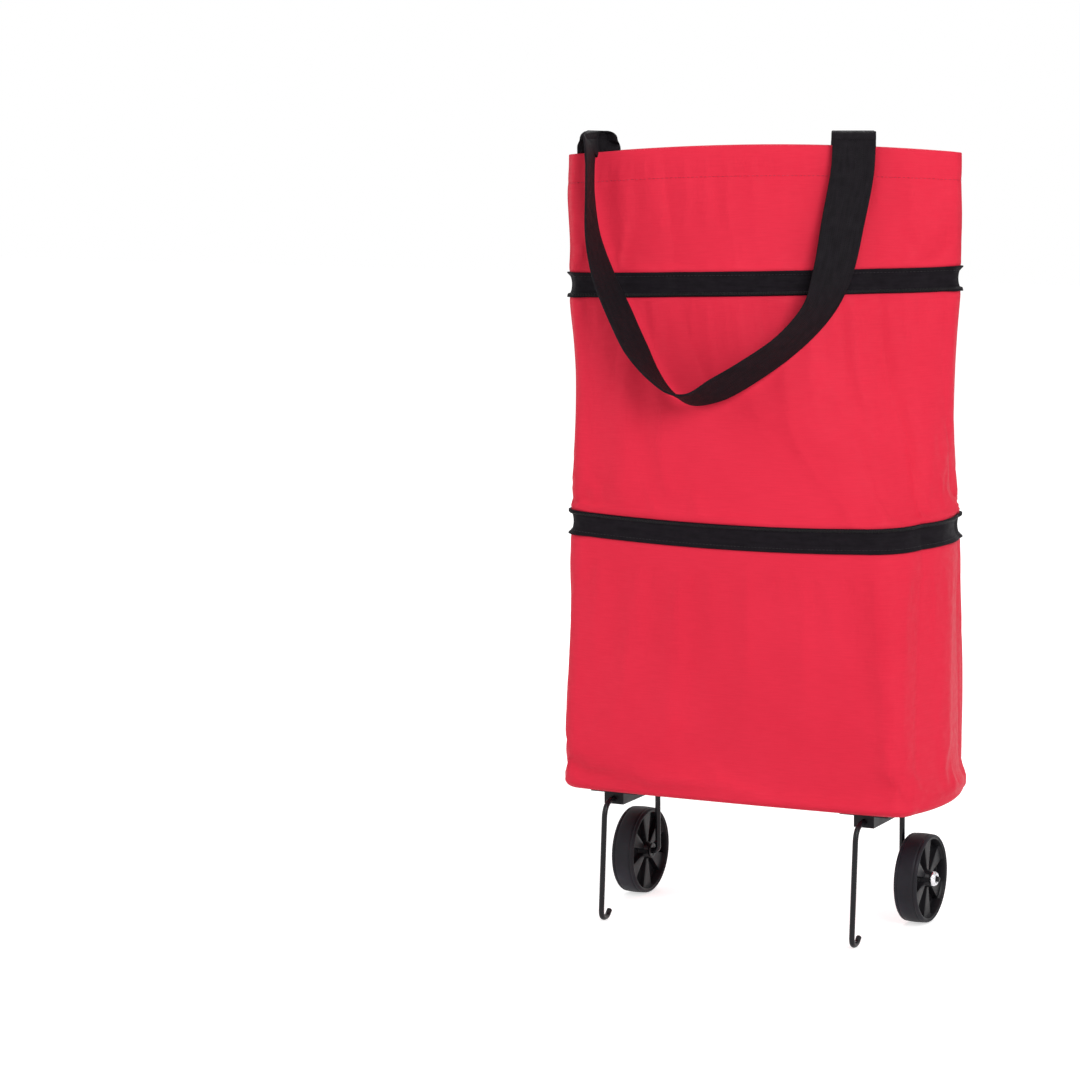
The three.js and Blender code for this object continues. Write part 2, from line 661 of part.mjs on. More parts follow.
// A wedge from the hub out into the rim's wall, for one spoke.
function spoke(k, rimInner) {
  const root = HUB_RADIUS - SPOKE_SINK;
  const tip = rimInner + RIM_WALL / 2;
  const shape = new THREE.Shape();
  shape.moveTo(root, -SPOKE_ROOT / 2);
  shape.lineTo(tip, -SPOKE_RIM / 2);
  shape.lineTo(tip, SPOKE_RIM / 2);
  shape.lineTo(root, SPOKE_ROOT / 2);
  shape.closePath();
  const depth = WHEEL_WIDTH * SPOKE_SHARE;
  const angle = ((k + 0.5) / SPOKES) * 2 * Math.PI;
  const wedge = new THREE.ExtrudeGeometry(shape, { depth, bevelEnabled: false });
  return wedge.translate(0, 0, -depth / 2).rotateZ(angle).rotateY(Math.PI / 2);
}

function wheelCore() {
  const half = WHEEL_WIDTH / 2 - RIM_SETBACK;
  const rimInner = SEAT - RIM_WALL;
  const hubHalf = WHEEL_WIDTH / 2;
  const disc = latheAboutX([
    [AXLE_BORE, -hubHalf],
    [HUB_RADIUS - HUB_TAPER, -hubHalf],
    [HUB_RADIUS, -WEB / 2],
    [rimInner, -WEB / 2],
    [rimInner, -half],
    [SEAT, -half],
    [SEAT, half],
    [rimInner, half],
    [rimInner, WEB / 2],
    [HUB_RADIUS, WEB / 2],
    [HUB_RADIUS - HUB_TAPER, hubHalf],
    [AXLE_BORE, hubHalf],
    [AXLE_BORE, -hubHalf],
  ], WHEEL_SEGMENTS);
  const spokes = Array.from({ length: SPOKES }, (_, k) => spoke(k, rimInner));
  return join(disc, ...spokes);
}

function pushNut() {
  const bore = WIRE / 2 + GAP;
  const crown = latheAboutX([
    [bore, 0],
    [NUT_RADIUS, 0],
    [NUT_RADIUS, NUT * NUT_SKIRT],
    [NUT_CROWN, NUT],
    [bore, NUT],
    [bore, 0],
  ], 24);
  const notches = [];
  for (let k = 0; k < NUT_NOTCHES; k += 1) {
    const angle = (k / NUT_NOTCHES) * 2 * Math.PI;
    const notch = boxAt(NUT, NUT_NOTCH, NUT_NOTCH, NUT * 0.9, NUT_RADIUS, 0);
    notches.push(notch.rotateX(angle));
  }
  return cut(crown, ...notches);
}

function washer() {
  return latheAboutX([
    [AXLE_BORE, 0],
    [WASHER_RADIUS, 0],
    [WASHER_RADIUS, WASHER],
    [AXLE_BORE, WASHER],
    [AXLE_BORE, 0],
  ], 20);
}

for (const [hand, side] of [['left', -1], ['right', 1]]) {
  add(`${hand}_bracket`, bracket(side), BLACK_PLASTIC);
  rivetPlaces(side).forEach(([x, y], k) => add(`${hand}_rivet_${k + 1}`, rivet(x, y), BRIGHT_STEEL));
  add(`${hand}_leg_wire`, legWire(side), BLACK_WIRE);

  const axle = new THREE.Group();
  axle.position.set(side * HALF_SPACING, REAR_LEG, WHEEL_RADIUS);
  axle.rotation.z = side < 0 ? Math.PI : 0;
  trolley.add(axle);
  const wheelMiddle = (WHEEL_INNER + WHEEL_OUTER) / 2;
  add(`${hand}_tyre`, tyre(), TREAD, axle).position.x = wheelMiddle;
  add(`${hand}_wheel_core`, wheelCore(), BLACK_PLASTIC, axle).position.x = wheelMiddle;
  add(`${hand}_inner_washer`, washer(), BLACK_PLASTIC, axle).position.x = WHEEL_INNER - GAP - WASHER;
  add(`${hand}_push_nut`, pushNut(), BRIGHT_STEEL, axle).position.x = NUT_INNER;
}

// ---------------------------------------------------------------- handles
// A flat strap through frames of centre, width direction and face normal.
function ribbon(frames) {
  const half = WEBBING / 2;
  const deep = WEBBING_THICKNESS / 2;
  const corner = (f, u, v) => {
    const edge = f.at.clone().addScaledVector(f.across, u * half);
    return edge.addScaledVector(f.face, v * deep);
  };
  const outer = frames.map((f) => [corner(f, -1, 1), corner(f, 1, 1)]);
  const inner = frames.map((f) => [corner(f, -1, -1), corner(f, 1, -1)]);
  const geometry = sheetSolid(outer, inner);
  const solid = solidOf(geometry);
  return solid.volume() > 0 ? geometry : sheetSolid(inner, outer);
}

const UP = new THREE.Vector3(0, 0, 1);
const foldZ = RIM + FOLD_HEIGHT;
const SEWN_SEAT = 1; // cloth's inner face to the strap, which lies flat against the curve
const sewnDepth = FABRIC + SEWN_SEAT + WEBBING_THICKNESS / 2; // bag's outer face to the sewn strap's middle

// One handle: facing is 1 in front and -1 behind, and out() gives the bag's surface there.
function handleLayout(facing, surface) {
  const inset = (along) => Math.min(
    ...[-WEBBING / 2, 0, WEBBING / 2].map((w) => surface(along + w, RIM)),
  ) - sewnDepth;
  const sewn = [LEFT_STRAP, RIGHT_STRAP].map((along) => ({ along, out: inset(along) }));
  const world = (along, out, z) => place(along, facing * out, z);
  const first = world(sewn[0].along, sewn[0].out, foldZ);
  const second = world(sewn[1].along, sewn[1].out, foldZ);
  const across = second.clone().sub(first).normalize();
  const outward = new THREE.Vector3().crossVectors(across, UP).normalize().multiplyScalar(facing);
  return { facing, surface, sewn, world, across, outward };
}

function sewnEnd(layout, { along, out }) {
  const frames = [foldZ - GAP, RIM - SEWN_LENGTH].map((z) => {
    const at = layout.world(along, out, z);
    return { at, across: layout.across, face: layout.outward };
  });
  return ribbon(frames);
}

const FOLD_STEPS = 6;
const FOLD_TRIM = GAP / FOLD_RADIUS / 2;

function fold(layout, { along, out }) {
  const base = layout.world(along, out, foldZ).addScaledVector(layout.outward, FOLD_RADIUS);
  const frames = [];
  for (let i = 0; i <= FOLD_STEPS; i += 1) {
    const angle = THREE.MathUtils.lerp(FOLD_TRIM, Math.PI - FOLD_TRIM, i / FOLD_STEPS);
    const radial = layout.outward.clone().multiplyScalar(-Math.cos(angle));
    radial.addScaledVector(UP, Math.sin(angle));
    const at = base.clone().addScaledVector(radial, FOLD_RADIUS);
    frames.push({ at, across: layout.across, face: radial });
  }
  return ribbon(frames);
}

// The hanging loop's route: its share of the way from the left strap to the right one, its
// stand-off from the cloth, its drop below the fold, and the turn of the strap about its own
// line, in degrees from lying flat on the bag. Its two ends start from the folds.
const HANGING_ROUTE = [
  { share: 0, off: null, drop: 0, turn: 0 },
  { share: -0.013, off: 13, drop: 9, turn: 30 },
  { share: -0.018, off: 19, drop: 22, turn: 64 },
  { share: -0.018, off: 23, drop: 48, turn: 79 },
  { share: -0.009, off: 23, drop: 84, turn: 70 },
  { share: 0.036, off: 21, drop: 118, turn: 58 },
  { share: 0.103, off: 20, drop: 150, turn: 54 },
  { share: 0.18, off: 20, drop: 180, turn: 54 },
  { share: 0.26, off: 21, drop: 202, turn: 70 },
  { share: 0.357, off: 22, drop: 214, turn: 96 },
  { share: 0.464, off: 20, drop: 211, turn: 124 },
  { share: 0.59, off: 17, drop: 199, turn: 142 },
  { share: 0.714, off: 14, drop: 177, turn: 154 },
  { share: 0.82, off: 10, drop: 148, turn: 166 },
  { share: 0.9, off: 8, drop: 108, turn: 175 },
  { share: 0.95, off: 8, drop: 66, turn: 178 },
  { share: 0.99, off: 9, drop: 28, turn: 180 },
  { share: 1, off: null, drop: 0, turn: 180 },
];
const LOOP_STEPS = 34;
const LOOP_GAP = 0.8; // fold's end to the loop, which starts to twist at once

// The bag's surface under the strap, at its fullest across the strap and a little lower down.
function fullestOut(layout, along, z) {
  const reach = 0.35 * WEBBING;
  const height = Math.min(z, RIM);
  const around = [-reach, 0, reach].map((w) => layout.surface(along + w, height));
  return Math.max(...around, layout.surface(along, height - reach));
}

function hangingLoop(layout) {
  const points = HANGING_ROUTE.map(({ share, off, drop }) => {
    const z = foldZ - LOOP_GAP - drop;
    const along = LEFT_STRAP + share * STRAP_SPACING;
    if (off === null) {
      const end = layout.sewn[share];
      return layout.world(end.along, end.out, z).addScaledVector(layout.outward, 2 * FOLD_RADIUS);
    }
    return layout.world(along, fullestOut(layout, along, z) + off, z);
  });
  const line = new THREE.CatmullRomCurve3(points, false, 'centripetal');
  const turns = HANGING_ROUTE.map(({ turn }) => THREE.MathUtils.degToRad(turn));
  const frames = [];
  for (let i = 0; i <= LOOP_STEPS; i += 1) {
    const t = i / LOOP_STEPS;
    const at = line.getPoint(t);
    const heading = line.getTangent(t);
    const slot = Math.min(Math.floor(t * (turns.length - 1)), turns.length - 2);
    const turn = THREE.MathUtils.lerp(turns[slot], turns[slot + 1], t * (turns.length - 1) - slot);
    const flat = new THREE.Vector3().crossVectors(heading, layout.outward).normalize();
    const face = new THREE.Vector3().crossVectors(flat, heading).normalize();
    const across = flat.clone().multiplyScalar(Math.cos(turn));
    across.addScaledVector(face, layout.facing * Math.sin(turn));
    if (i === 0 || i === LOOP_STEPS) {
      frames.push({ at, across: layout.across, face: layout.outward });
    } else {
      frames.push({ at, across, face: new THREE.Vector3().crossVectors(across, heading).normalize() });
    }
  }
  // the width direction keeps its sense from one end to the other
  for (let i = 1; i < frames.length; i += 1) {
    if (frames[i].across.dot(frames[i - 1].across) < 0) {
      frames[i].across.negate();
      frames[i].face.negate();
    }
  }
  return ribbon(frames);
}

for (const [name, facing, surface] of [['front', 1, frontOut], ['back', -1, backOut]]) {
  const layout = handleLayout(facing, surface);
  ['left', 'right'].forEach((hand, k) => {
    add(`${name}_handle_${hand}_end`, sewnEnd(layout, layout.sewn[k]), BLACK_WEBBING);
    add(`${name}_handle_${hand}_fold`, fold(layout, layout.sewn[k]), BLACK_WEBBING);
  });
  add(`${name}_handle_loop`, hangingLoop(layout), BLACK_WEBBING);
}

// ---------------------------------------------------------------- snap at the middle of the mouth
function snap(name, facing, surface, bump) {
  const z = RIM - SNAP_DROP;
  const out = surface(0, z) - FABRIC - SNAP_SEAT;
  const profile = [
    [0, 0],
    [SNAP_RADIUS, 0],
    [SNAP_RADIUS, SNAP_DEPTH / 2],
    [bump, SNAP_DEPTH / 2],
    [bump, SNAP_DEPTH],
    [0, SNAP_DEPTH],
  ];
  const geometry = latheAboutX(profile, 16);
  geometry.rotateZ(SKEW + facing * Math.PI / 2);
  const at = place(0, facing * out, z);
  geometry.translate(at.x, at.y, at.z);
  add(name, geometry, BRIGHT_STEEL);
}

snap('snap_stud', 1, frontOut, SNAP_RADIUS * 0.4);
snap('snap_socket', -1, backOut, SNAP_RADIUS * 0.7);

export default trolley;
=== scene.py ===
# Expandable shopping trolley bag: a cloth bag in three sections joined by two zip bands, with
# webbing handles, on two folding wire leg frames. Metres, +X along the base, +Y to the back, +Z up.
import json
import math

import bpy
import numpy as np
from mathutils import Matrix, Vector


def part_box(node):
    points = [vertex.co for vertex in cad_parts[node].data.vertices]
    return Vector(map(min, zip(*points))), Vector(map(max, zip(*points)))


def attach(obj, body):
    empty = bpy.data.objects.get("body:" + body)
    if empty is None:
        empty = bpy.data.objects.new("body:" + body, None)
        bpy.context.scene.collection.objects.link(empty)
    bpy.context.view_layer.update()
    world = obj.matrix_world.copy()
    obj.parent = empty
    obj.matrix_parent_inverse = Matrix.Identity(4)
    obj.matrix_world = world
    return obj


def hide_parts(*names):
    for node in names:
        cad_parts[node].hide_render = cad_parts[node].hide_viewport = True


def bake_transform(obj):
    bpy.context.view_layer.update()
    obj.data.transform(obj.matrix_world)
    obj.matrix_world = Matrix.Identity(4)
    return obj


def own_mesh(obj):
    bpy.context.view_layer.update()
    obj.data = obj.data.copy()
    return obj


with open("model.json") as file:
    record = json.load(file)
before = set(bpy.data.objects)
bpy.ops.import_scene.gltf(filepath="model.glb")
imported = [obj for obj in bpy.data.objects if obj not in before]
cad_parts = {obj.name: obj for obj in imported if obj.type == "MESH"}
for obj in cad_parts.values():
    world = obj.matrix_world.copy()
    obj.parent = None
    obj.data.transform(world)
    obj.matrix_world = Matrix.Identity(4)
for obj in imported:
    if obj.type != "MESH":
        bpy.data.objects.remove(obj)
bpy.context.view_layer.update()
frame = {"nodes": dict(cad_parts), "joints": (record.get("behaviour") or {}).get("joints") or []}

TAU = 2 * math.pi

# ------------------------------------------------------------------ sizes
BASE_WIDTH, BASE_DEPTH = 0.340, 0.154
GROUND_CLEARANCE = 0.116  # ground to the underside of the bag
LOWER_BAND = 0.342  # each name is the height where that piece starts
MIDDLE_START = 0.362
UPPER_BAND = 0.562
UPPER_START = 0.582
RIM = 0.691
FABRIC = 0.0014
END_DIP = 0.0024  # how far the bands are drawn in between their lips at the bag's two ends
BOTTOM_ROUND, CORNER_ROUND = 0.006, 0.008  # the bottom edge's rounding, along it and at its corners
TAPE = 0.0014
TUCK = 0.004  # cloth reaching behind the zip tape
SEAM_GAP = 0.0003  # between a section's edge and the band above or below it
HEM = 0.026
WEBBING, WEBBING_THICKNESS = 0.038, 0.0018
FOLD_RADIUS = 0.006
SEWN_LENGTH = 0.034
STRAP_INSET, STRAP_SPACING = 0.0406, 0.224
WIRE = 0.005
RUNNING_GAP = 0.00035  # round the wire, in the washers and the wheels
LEG_BEND, AXLE_BEND = 0.015, 0.0052  # how far back the wire's bends start
SPOKES = 6

SKEW = math.atan2(BASE_DEPTH, BASE_WIDTH)
HALF_DIAGONAL = math.hypot(BASE_WIDTH, BASE_DEPTH) / 2
CORNER = np.array([math.cos(2 * SKEW), math.sin(2 * SKEW)]) * HALF_DIAGONAL
ALONG = np.array([math.cos(SKEW), math.sin(SKEW), 0.0])  # the folded bag's own directions
OUT = np.array([math.sin(SKEW), -math.cos(SKEW), 0.0])
UP = np.array([0.0, 0.0, 1.0])

# Stations of the loft: height, then the base corner's share of its place along and out, the
# ends' share of the half diagonal, the thickness kept all round, the rounding of the ends and
# of the corners, the swell of the front sides, and the lift of the ends (tilt, sag).
STATIONS = np.array([
    [GROUND_CLEARANCE, 1, 1, 1, 0, 0.020, 0.022, 0.003, 0, 0],
    [LOWER_BAND, 0.94, 0.76, 0.965, 0.004, 0.020, 0.034, 0.008, -0.001, 0.006],
    [MIDDLE_START, 0.91, 0.72, 0.965, 0.004, 0.020, 0.038, 0.008, -0.001, 0.006],
    [MIDDLE_START + 0.060, 0.68, 0.56, 0.955, 0.005, 0.020, 0.055, 0.007, 0, 0.004],
    [MIDDLE_START + 0.120, 0.27, 0.41, 0.955, 0.006, 0.020, 0.080, 0.006, 0.001, 0.002],
    [UPPER_BAND, 0.10, 0.26, 0.98, 0.0075, 0.020, 0.090, 0.005, 0.003, 0],
    [UPPER_START, 0.08, 0.24, 0.98, 0.0075, 0.020, 0.090, 0.005, 0.003, 0],
    [RIM, 0, 0.12, 0.975, 0.0075, 0.016, 0.090, 0.003, 0.001, -0.009],
])
GUSSET_SWELL = 0.006  # how much fuller the right gusset is at the bottom
SPANS = [(0, 1), (1, 2), (2, 5), (5, 6), (6, 7)]  # stations that ease into each other
PANELS = ("front_panel", "right_gusset", "back_panel", "left_gusset")
QUARTERS = [72, 44, 72, 44]  # columns from the middle of one corner to the next


# ------------------------------------------------------------------ small helpers
def unit(v):
    return v / np.maximum(np.linalg.norm(v, axis=-1, keepdims=True), 1e-12)


def lerp(a, b, t):
    return a + (b - a) * t


def smooth(low, high, x):
    t = np.clip((np.asarray(x, float) - low) / (high - low), 0, 1)
    return t * t * (3 - 2 * t)


def box_middle(node):
    low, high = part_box(node)
    return np.array((low + high) / 2)


def joint(name):
    return next(j for j in frame["joints"] if j["name"] == name)


def lengths_along(line):
    """How far along a line of points each one is."""
    return np.concatenate([[0], np.cumsum(np.linalg.norm(np.diff(line, axis=0), axis=1))])


# ------------------------------------------------------------------ the loft
def station_at(height):
    first, last = next((s for s in SPANS if height <= STATIONS[s[1], 0]), SPANS[-1])
    rows = STATIONS[first:last + 1]
    h = rows[:, 0]
    slopes = np.gradient(rows, h, axis=0)
    i = int(np.clip(np.searchsorted(h, height) - 1, 0, len(h) - 2))
    step = h[i + 1] - h[i]
    t = min(max((height - h[i]) / step, 0), 1)
    a, b = rows[i], rows[i + 1]
    rise = t * (1 - t) ** 2 * slopes[i] - t * t * (1 - t) * slopes[i + 1]
    return a + (b - a) * (3 * t * t - 2 * t ** 3) + step * rise


def resampled(points, count):
    """count points evenly spaced along a line of points, without its last one."""
    length = lengths_along(points)
    at = np.linspace(0, length[-1], count + 1)[:-1]
    return np.stack([np.interp(at, length, points[:, k]) for k in range(points.shape[1])], 1)


def outline(height, inset=0.0):
    """(along, out) points round the bag at a height, from the middle of its left corner by the front."""
    _, along, out, end, puff, end_round, corner_round, bulge, _, _ = station_at(height)
    tip = end * HALF_DIAGONAL - puff
    corner = CORNER * [along, out]
    vertices = [np.array([-tip, 0]), corner, np.array([tip, 0]), -corner]
    rounds = [end_round, corner_round] * 2

    def arc(k, first, last):
        here, before, after = vertices[k], vertices[k - 1], vertices[(k + 1) % 4]
        start = here + unit(before - here) * rounds[k]
        stop = here + unit(after - here) * rounds[k]
        t = np.linspace(first, last, 16)[:, None]
        return start * (1 - t) ** 2 + here * 2 * t * (1 - t) + stop * t * t

    ring = []
    for k, count in enumerate(QUARTERS):
        leave, enter = arc(k, 0.5, 1), arc((k + 1) % 4, 0, 0.5)
        t = np.linspace(0, 1, 26)[1:-1, None]
        side = lerp(leave[-1], enter[0], t)
        swell = unit(np.array([leave[-1][1] - enter[0][1], enter[0][0] - leave[-1][0]]))
        fuller = GUSSET_SWELL * (1 - smooth(GROUND_CLEARANCE, LOWER_BAND, height)) if k == 1 else 0
        side = side + swell * ((bulge + fuller) * 4 * t * (1 - t) if k < 2 else 0)
        ring.append(resampled(np.concatenate([leave, side, enter]), count))
    ring = np.concatenate(ring)
    tangent = unit(np.roll(ring, -1, 0) - np.roll(ring, 1, 0))
    inward = np.stack([tangent[:, 1], -tangent[:, 0]], 1)
    return ring + inward * (np.asarray(inset)[..., None] - puff)


def place(along, out, z):
    return np.multiply.outer(along, ALONG) + np.multiply.outer(out, OUT) + np.multiply.outer(z, UP)


def ring(height, inset=0.0):
    flat = outline(height, inset)
    share = flat[:, 0] / HALF_DIAGONAL
    tilt, sag = station_at(height)[-2:]
    return place(flat[:, 0], flat[:, 1], height + tilt * share + sag * share * share)


def surface_out(facing, along, height):
    """How far the front (facing 1) or back (facing -1) of the bag stands out at a place along it."""
    flat = outline(min(height, RIM)) * [1, facing]
    half = flat[flat[:, 1] > 0]
    half = half[np.argsort(half[:, 0])]
    return float(np.interp(along, half[:, 0], half[:, 1]))


# ------------------------------------------------------------------ mesh makers
def mesh_object(name, points, faces, uv=None, material=None):
    mesh = bpy.data.meshes.new(name)
    mesh.from_pydata([tuple(p) for p in points], [], [tuple(f) for f in faces])
    if uv is not None:
        layer = mesh.uv_layers.new(name="threads")
        layer.uv.foreach_set("vector", np.asarray(uv, np.float32).ravel())
    mesh.validate()
    mesh.update()
    mesh.polygons.foreach_set("use_smooth", [True] * len(mesh.polygons))
    obj = bpy.data.objects.new(name, mesh)
    bpy.context.scene.collection.objects.link(obj)
    if material:
        mesh.materials.append(material)
    return obj


def signed_volume(points, quads):
    a, b, c, d = (points[quads[:, i]] for i in range(4))
    return float((a * np.cross(b, c)).sum() + (a * np.cross(c, d)).sum())


def corner_uv(u, v, r, c):
    """Texture coordinates at the four corners of a grid's faces."""
    return np.stack([
        np.stack([u[c], v[r]], -1), np.stack([u[c + 1], v[r]], -1),
        np.stack([u[c + 1], v[r + 1]], -1), np.stack([u[c], v[r + 1]], -1),
    ], -2).reshape(-1, 4, 2)


def closed_grid(grid):
    """(points, quads, uv) of a grid that closes on itself both ways, faces pointing out."""
    rows, columns = grid.shape[:2]
    r, c = np.meshgrid(np.arange(rows), np.arange(columns), indexing="ij")
    nr, nc = (r + 1) % rows, (c + 1) % columns
    quads = np.stack([r * columns + c, r * columns + nc, nr * columns + nc, nr * columns + c], -1)
    across = np.linalg.norm(np.roll(grid, -1, 1) - grid, axis=-1).mean(0)
    down = np.linalg.norm(np.roll(grid, -1, 0) - grid, axis=-1).mean(1)
    u = np.concatenate([[0], np.cumsum(across)])
    v = np.concatenate([[0], np.cumsum(down)])
    uv = corner_uv(u, v, r, c)
    points, quads = grid.reshape(-1, 3), quads.reshape(-1, 4)
    if signed_volume(points, quads) < 0:
        quads, uv = quads[:, ::-1], uv[:, ::-1]
    return points, quads, uv


def sleeve_quads(rows, columns):
    """Faces of a grid whose columns close on themselves and whose rows don't."""
    r, c = np.meshgrid(np.arange(rows - 1), np.arange(columns), indexing="ij")
    nc = (c + 1) % columns
    quads = np.stack([r * columns + c, r * columns + nc, (r + 1) * columns + nc, (r + 1) * columns + c], -1)
    return quads.reshape(-1, 4)


def grid_piece(name, grid, material):
    points, quads, uv = closed_grid(grid)
    return mesh_object(name, points, quads, uv, material)


def grid_pieces(name, grids, material):
    """Several closed grids in one object."""
    points, quads, uvs = zip(*[closed_grid(g) for g in grids])
    starts = np.cumsum([0] + [len(p) for p in points[:-1]])
    joined = np.concatenate([q + start for q, start in zip(quads, starts)])
    return mesh_object(name, np.concatenate(points), joined, np.concatenate(uvs), material)


def open_normals(grid):
    """Outward normals of a grid whose columns close and whose rows go up the bag."""
    around = np.roll(grid, -1, 1) - np.roll(grid, 1, 1)
    up = np.gradient(grid, axis=0)
    return unit(np.cross(around, up))


def shell(name, outer, thickness, material):
    """Cloth between its outer surface and one set in by its thickness, with rounded edges."""
    normal = open_normals(outer)
    thick = np.broadcast_to(thickness, outer.shape[:1])[:, None, None]
    inner = outer - normal * thick

    def edge(a, b, beyond):
        middle, away = (a + b) / 2, unit(beyond) * np.linalg.norm(a - b, axis=-1, keepdims=True) / 2
        return [middle + (a - middle) * math.cos(t) + away * math.sin(t) for t in (0.8, 1.57, 2.34)]

    top = edge(outer[-1], inner[-1], outer[-1] - outer[-2])
    bottom = edge(inner[0], outer[0], outer[0] - outer[1])
    return grid_piece(name, np.stack([*outer, *top, *inner[::-1], *bottom]), material)


def frames_along(path):
    """Tangents and two steady cross directions along a line of points."""
    tangent = unit(np.gradient(path, axis=0))
    side = unit(np.cross(tangent[0], [0.3, 0.9, 0.2]))
    sides = []
    for t in tangent:
        side = unit(side - t * (side @ t))
        sides.append(side)
    sides = np.array(sides)
    return tangent, sides, np.cross(tangent, sides)


def tube(name, path, radius, material, sides=20):
    """A round bar along a line of points, with domed ends."""
    tangent, a, b = frames_along(path)
    turn = np.linspace(0, TAU, sides, endpoint=False)
    circle = np.cos(turn)[:, None], np.sin(turn)[:, None]

    def ring_at(i, shift, share):
        return path[i] + tangent[i] * shift + radius * share * (circle[0] * a[i] + circle[1] * b[i])

    dome = [(math.sin(t), math.cos(t)) for t in (1.45, 1.1, 0.75, 0.4)]
    rings = [ring_at(0, -radius * 0.6 * s, c) for s, c in dome]
    rings += [ring_at(i, 0, 1) for i in range(len(path))]
    rings += [ring_at(-1, radius * 0.6 * s, c) for s, c in dome[::-1]]
    points = np.concatenate(rings)
    first, last = tuple(range(sides)), tuple(range(len(points) - sides, len(points)))
    faces = [tuple(q) for q in sleeve_quads(len(rings), sides)] + [first[::-1], last]
    return facing_out(mesh_object(name, points, faces, None, material))


def facing_out(obj):
    """Turns the faces of a closed piece outwards."""
    mesh = obj.data
    volume = 0.0
    for p in mesh.polygons:
        co = [mesh.vertices[i].co for i in p.vertices]
        volume += sum(co[0].dot(co[k].cross(co[k + 1])) for k in range(1, len(co) - 1))
    if volume < 0:
        mesh.flip_normals()
    return obj


def turned(profile, middle, axis, segments=96, radial=None):
    """A closed (radius, distance along the axis) profile turned about an axis through middle."""
    axis = unit(np.array(axis, float))
    first = unit(np.cross(axis, [0.2, 0.3, 0.9]))
    second = np.cross(axis, first)
    turn = np.linspace(0, TAU, segments, endpoint=False)
    radius, along = (np.array(profile).T)[:, :, None]
    if radial is not None:
        radius = radius * radial(along, turn[None, :])
    spin = np.cos(turn)[:, None] * first + np.sin(turn)[:, None] * second
    return middle + along[..., None] * axis + (radius * np.ones(segments))[..., None] * spin


def lathe(name, profile, middle, material, segments=96, axis=(1, 0, 0), radial=None):
    return grid_piece(name, turned(profile, middle, axis, segments, radial), material)


def scattered(name, shape, faces, at, axes, material):
    """Many copies of one small closed shape, each in its own place and directions."""
    points = at[:, None, :] + np.einsum("vk,nkx->nvx", shape, axes)
    count = len(shape)
    all_faces = [tuple(i + n * count for i in f) for n in range(len(at)) for f in faces]
    return mesh_object(name, points.reshape(-1, 3), all_faces, None, material)


def bead(length, width, height, rings=5, sides=6, power=0.5):
    """A small rounded closed shape, long in its first direction and lying on its second."""
    t = np.linspace(-0.92, 0.92, rings)
    share = (1 - t ** 2) ** power
    turn = np.linspace(0, TAU, sides, endpoint=False)
    points = [
        [length / 2 * x / 0.92, width / 2 * s * math.cos(a), height / 2 * s * math.sin(a)]
        for x, s in zip(t, share) for a in turn
    ]
    faces = [
        (r * sides + i, (r + 1) * sides + i, (r + 1) * sides + (i + 1) % sides, r * sides + (i + 1) % sides)
        for r in range(rings - 1) for i in range(sides)
    ]
    faces += [tuple(range(sides)), tuple(range(rings * sides - 1, (rings - 1) * sides - 1, -1))]
    return np.array(points), faces


def along_line(line, normals, pitch, closed=True):
    """Evenly spaced places along a line, each with its directions: along, across and out."""
    if closed:
        line, normals = np.concatenate([line, line[:1]]), np.concatenate([normals, normals[:1]])
    length = lengths_along(line)
    count = int(length[-1] / pitch)
    at = (np.arange(count) + 0.5) / count * length[-1]

    def read(values, where):
        return np.stack([np.interp(where, length, values[:, k]) for k in range(3)], 1)

    here = read(line, at)
    tangent = unit(read(line, np.minimum(at + pitch / 4, length[-1])) - read(line, at - pitch / 4))
    out = unit(read(normals, at))
    return here, np.stack([tangent, unit(np.cross(out, tangent)), out], 1)


def stitching(name, lines, material, length=0.0029, gap=0.0009, radius=0.00034):
    """Rows of thread stitches. Each line is (points, outward normals, whether it closes)."""
    shape, faces = bead(length, 2 * radius, 2 * radius)
    at, axes = zip(*[along_line(p, n, length + gap, closed) for p, n, closed in lines])
    return scattered(name, shape, faces, np.concatenate(at), np.concatenate(axes), material)


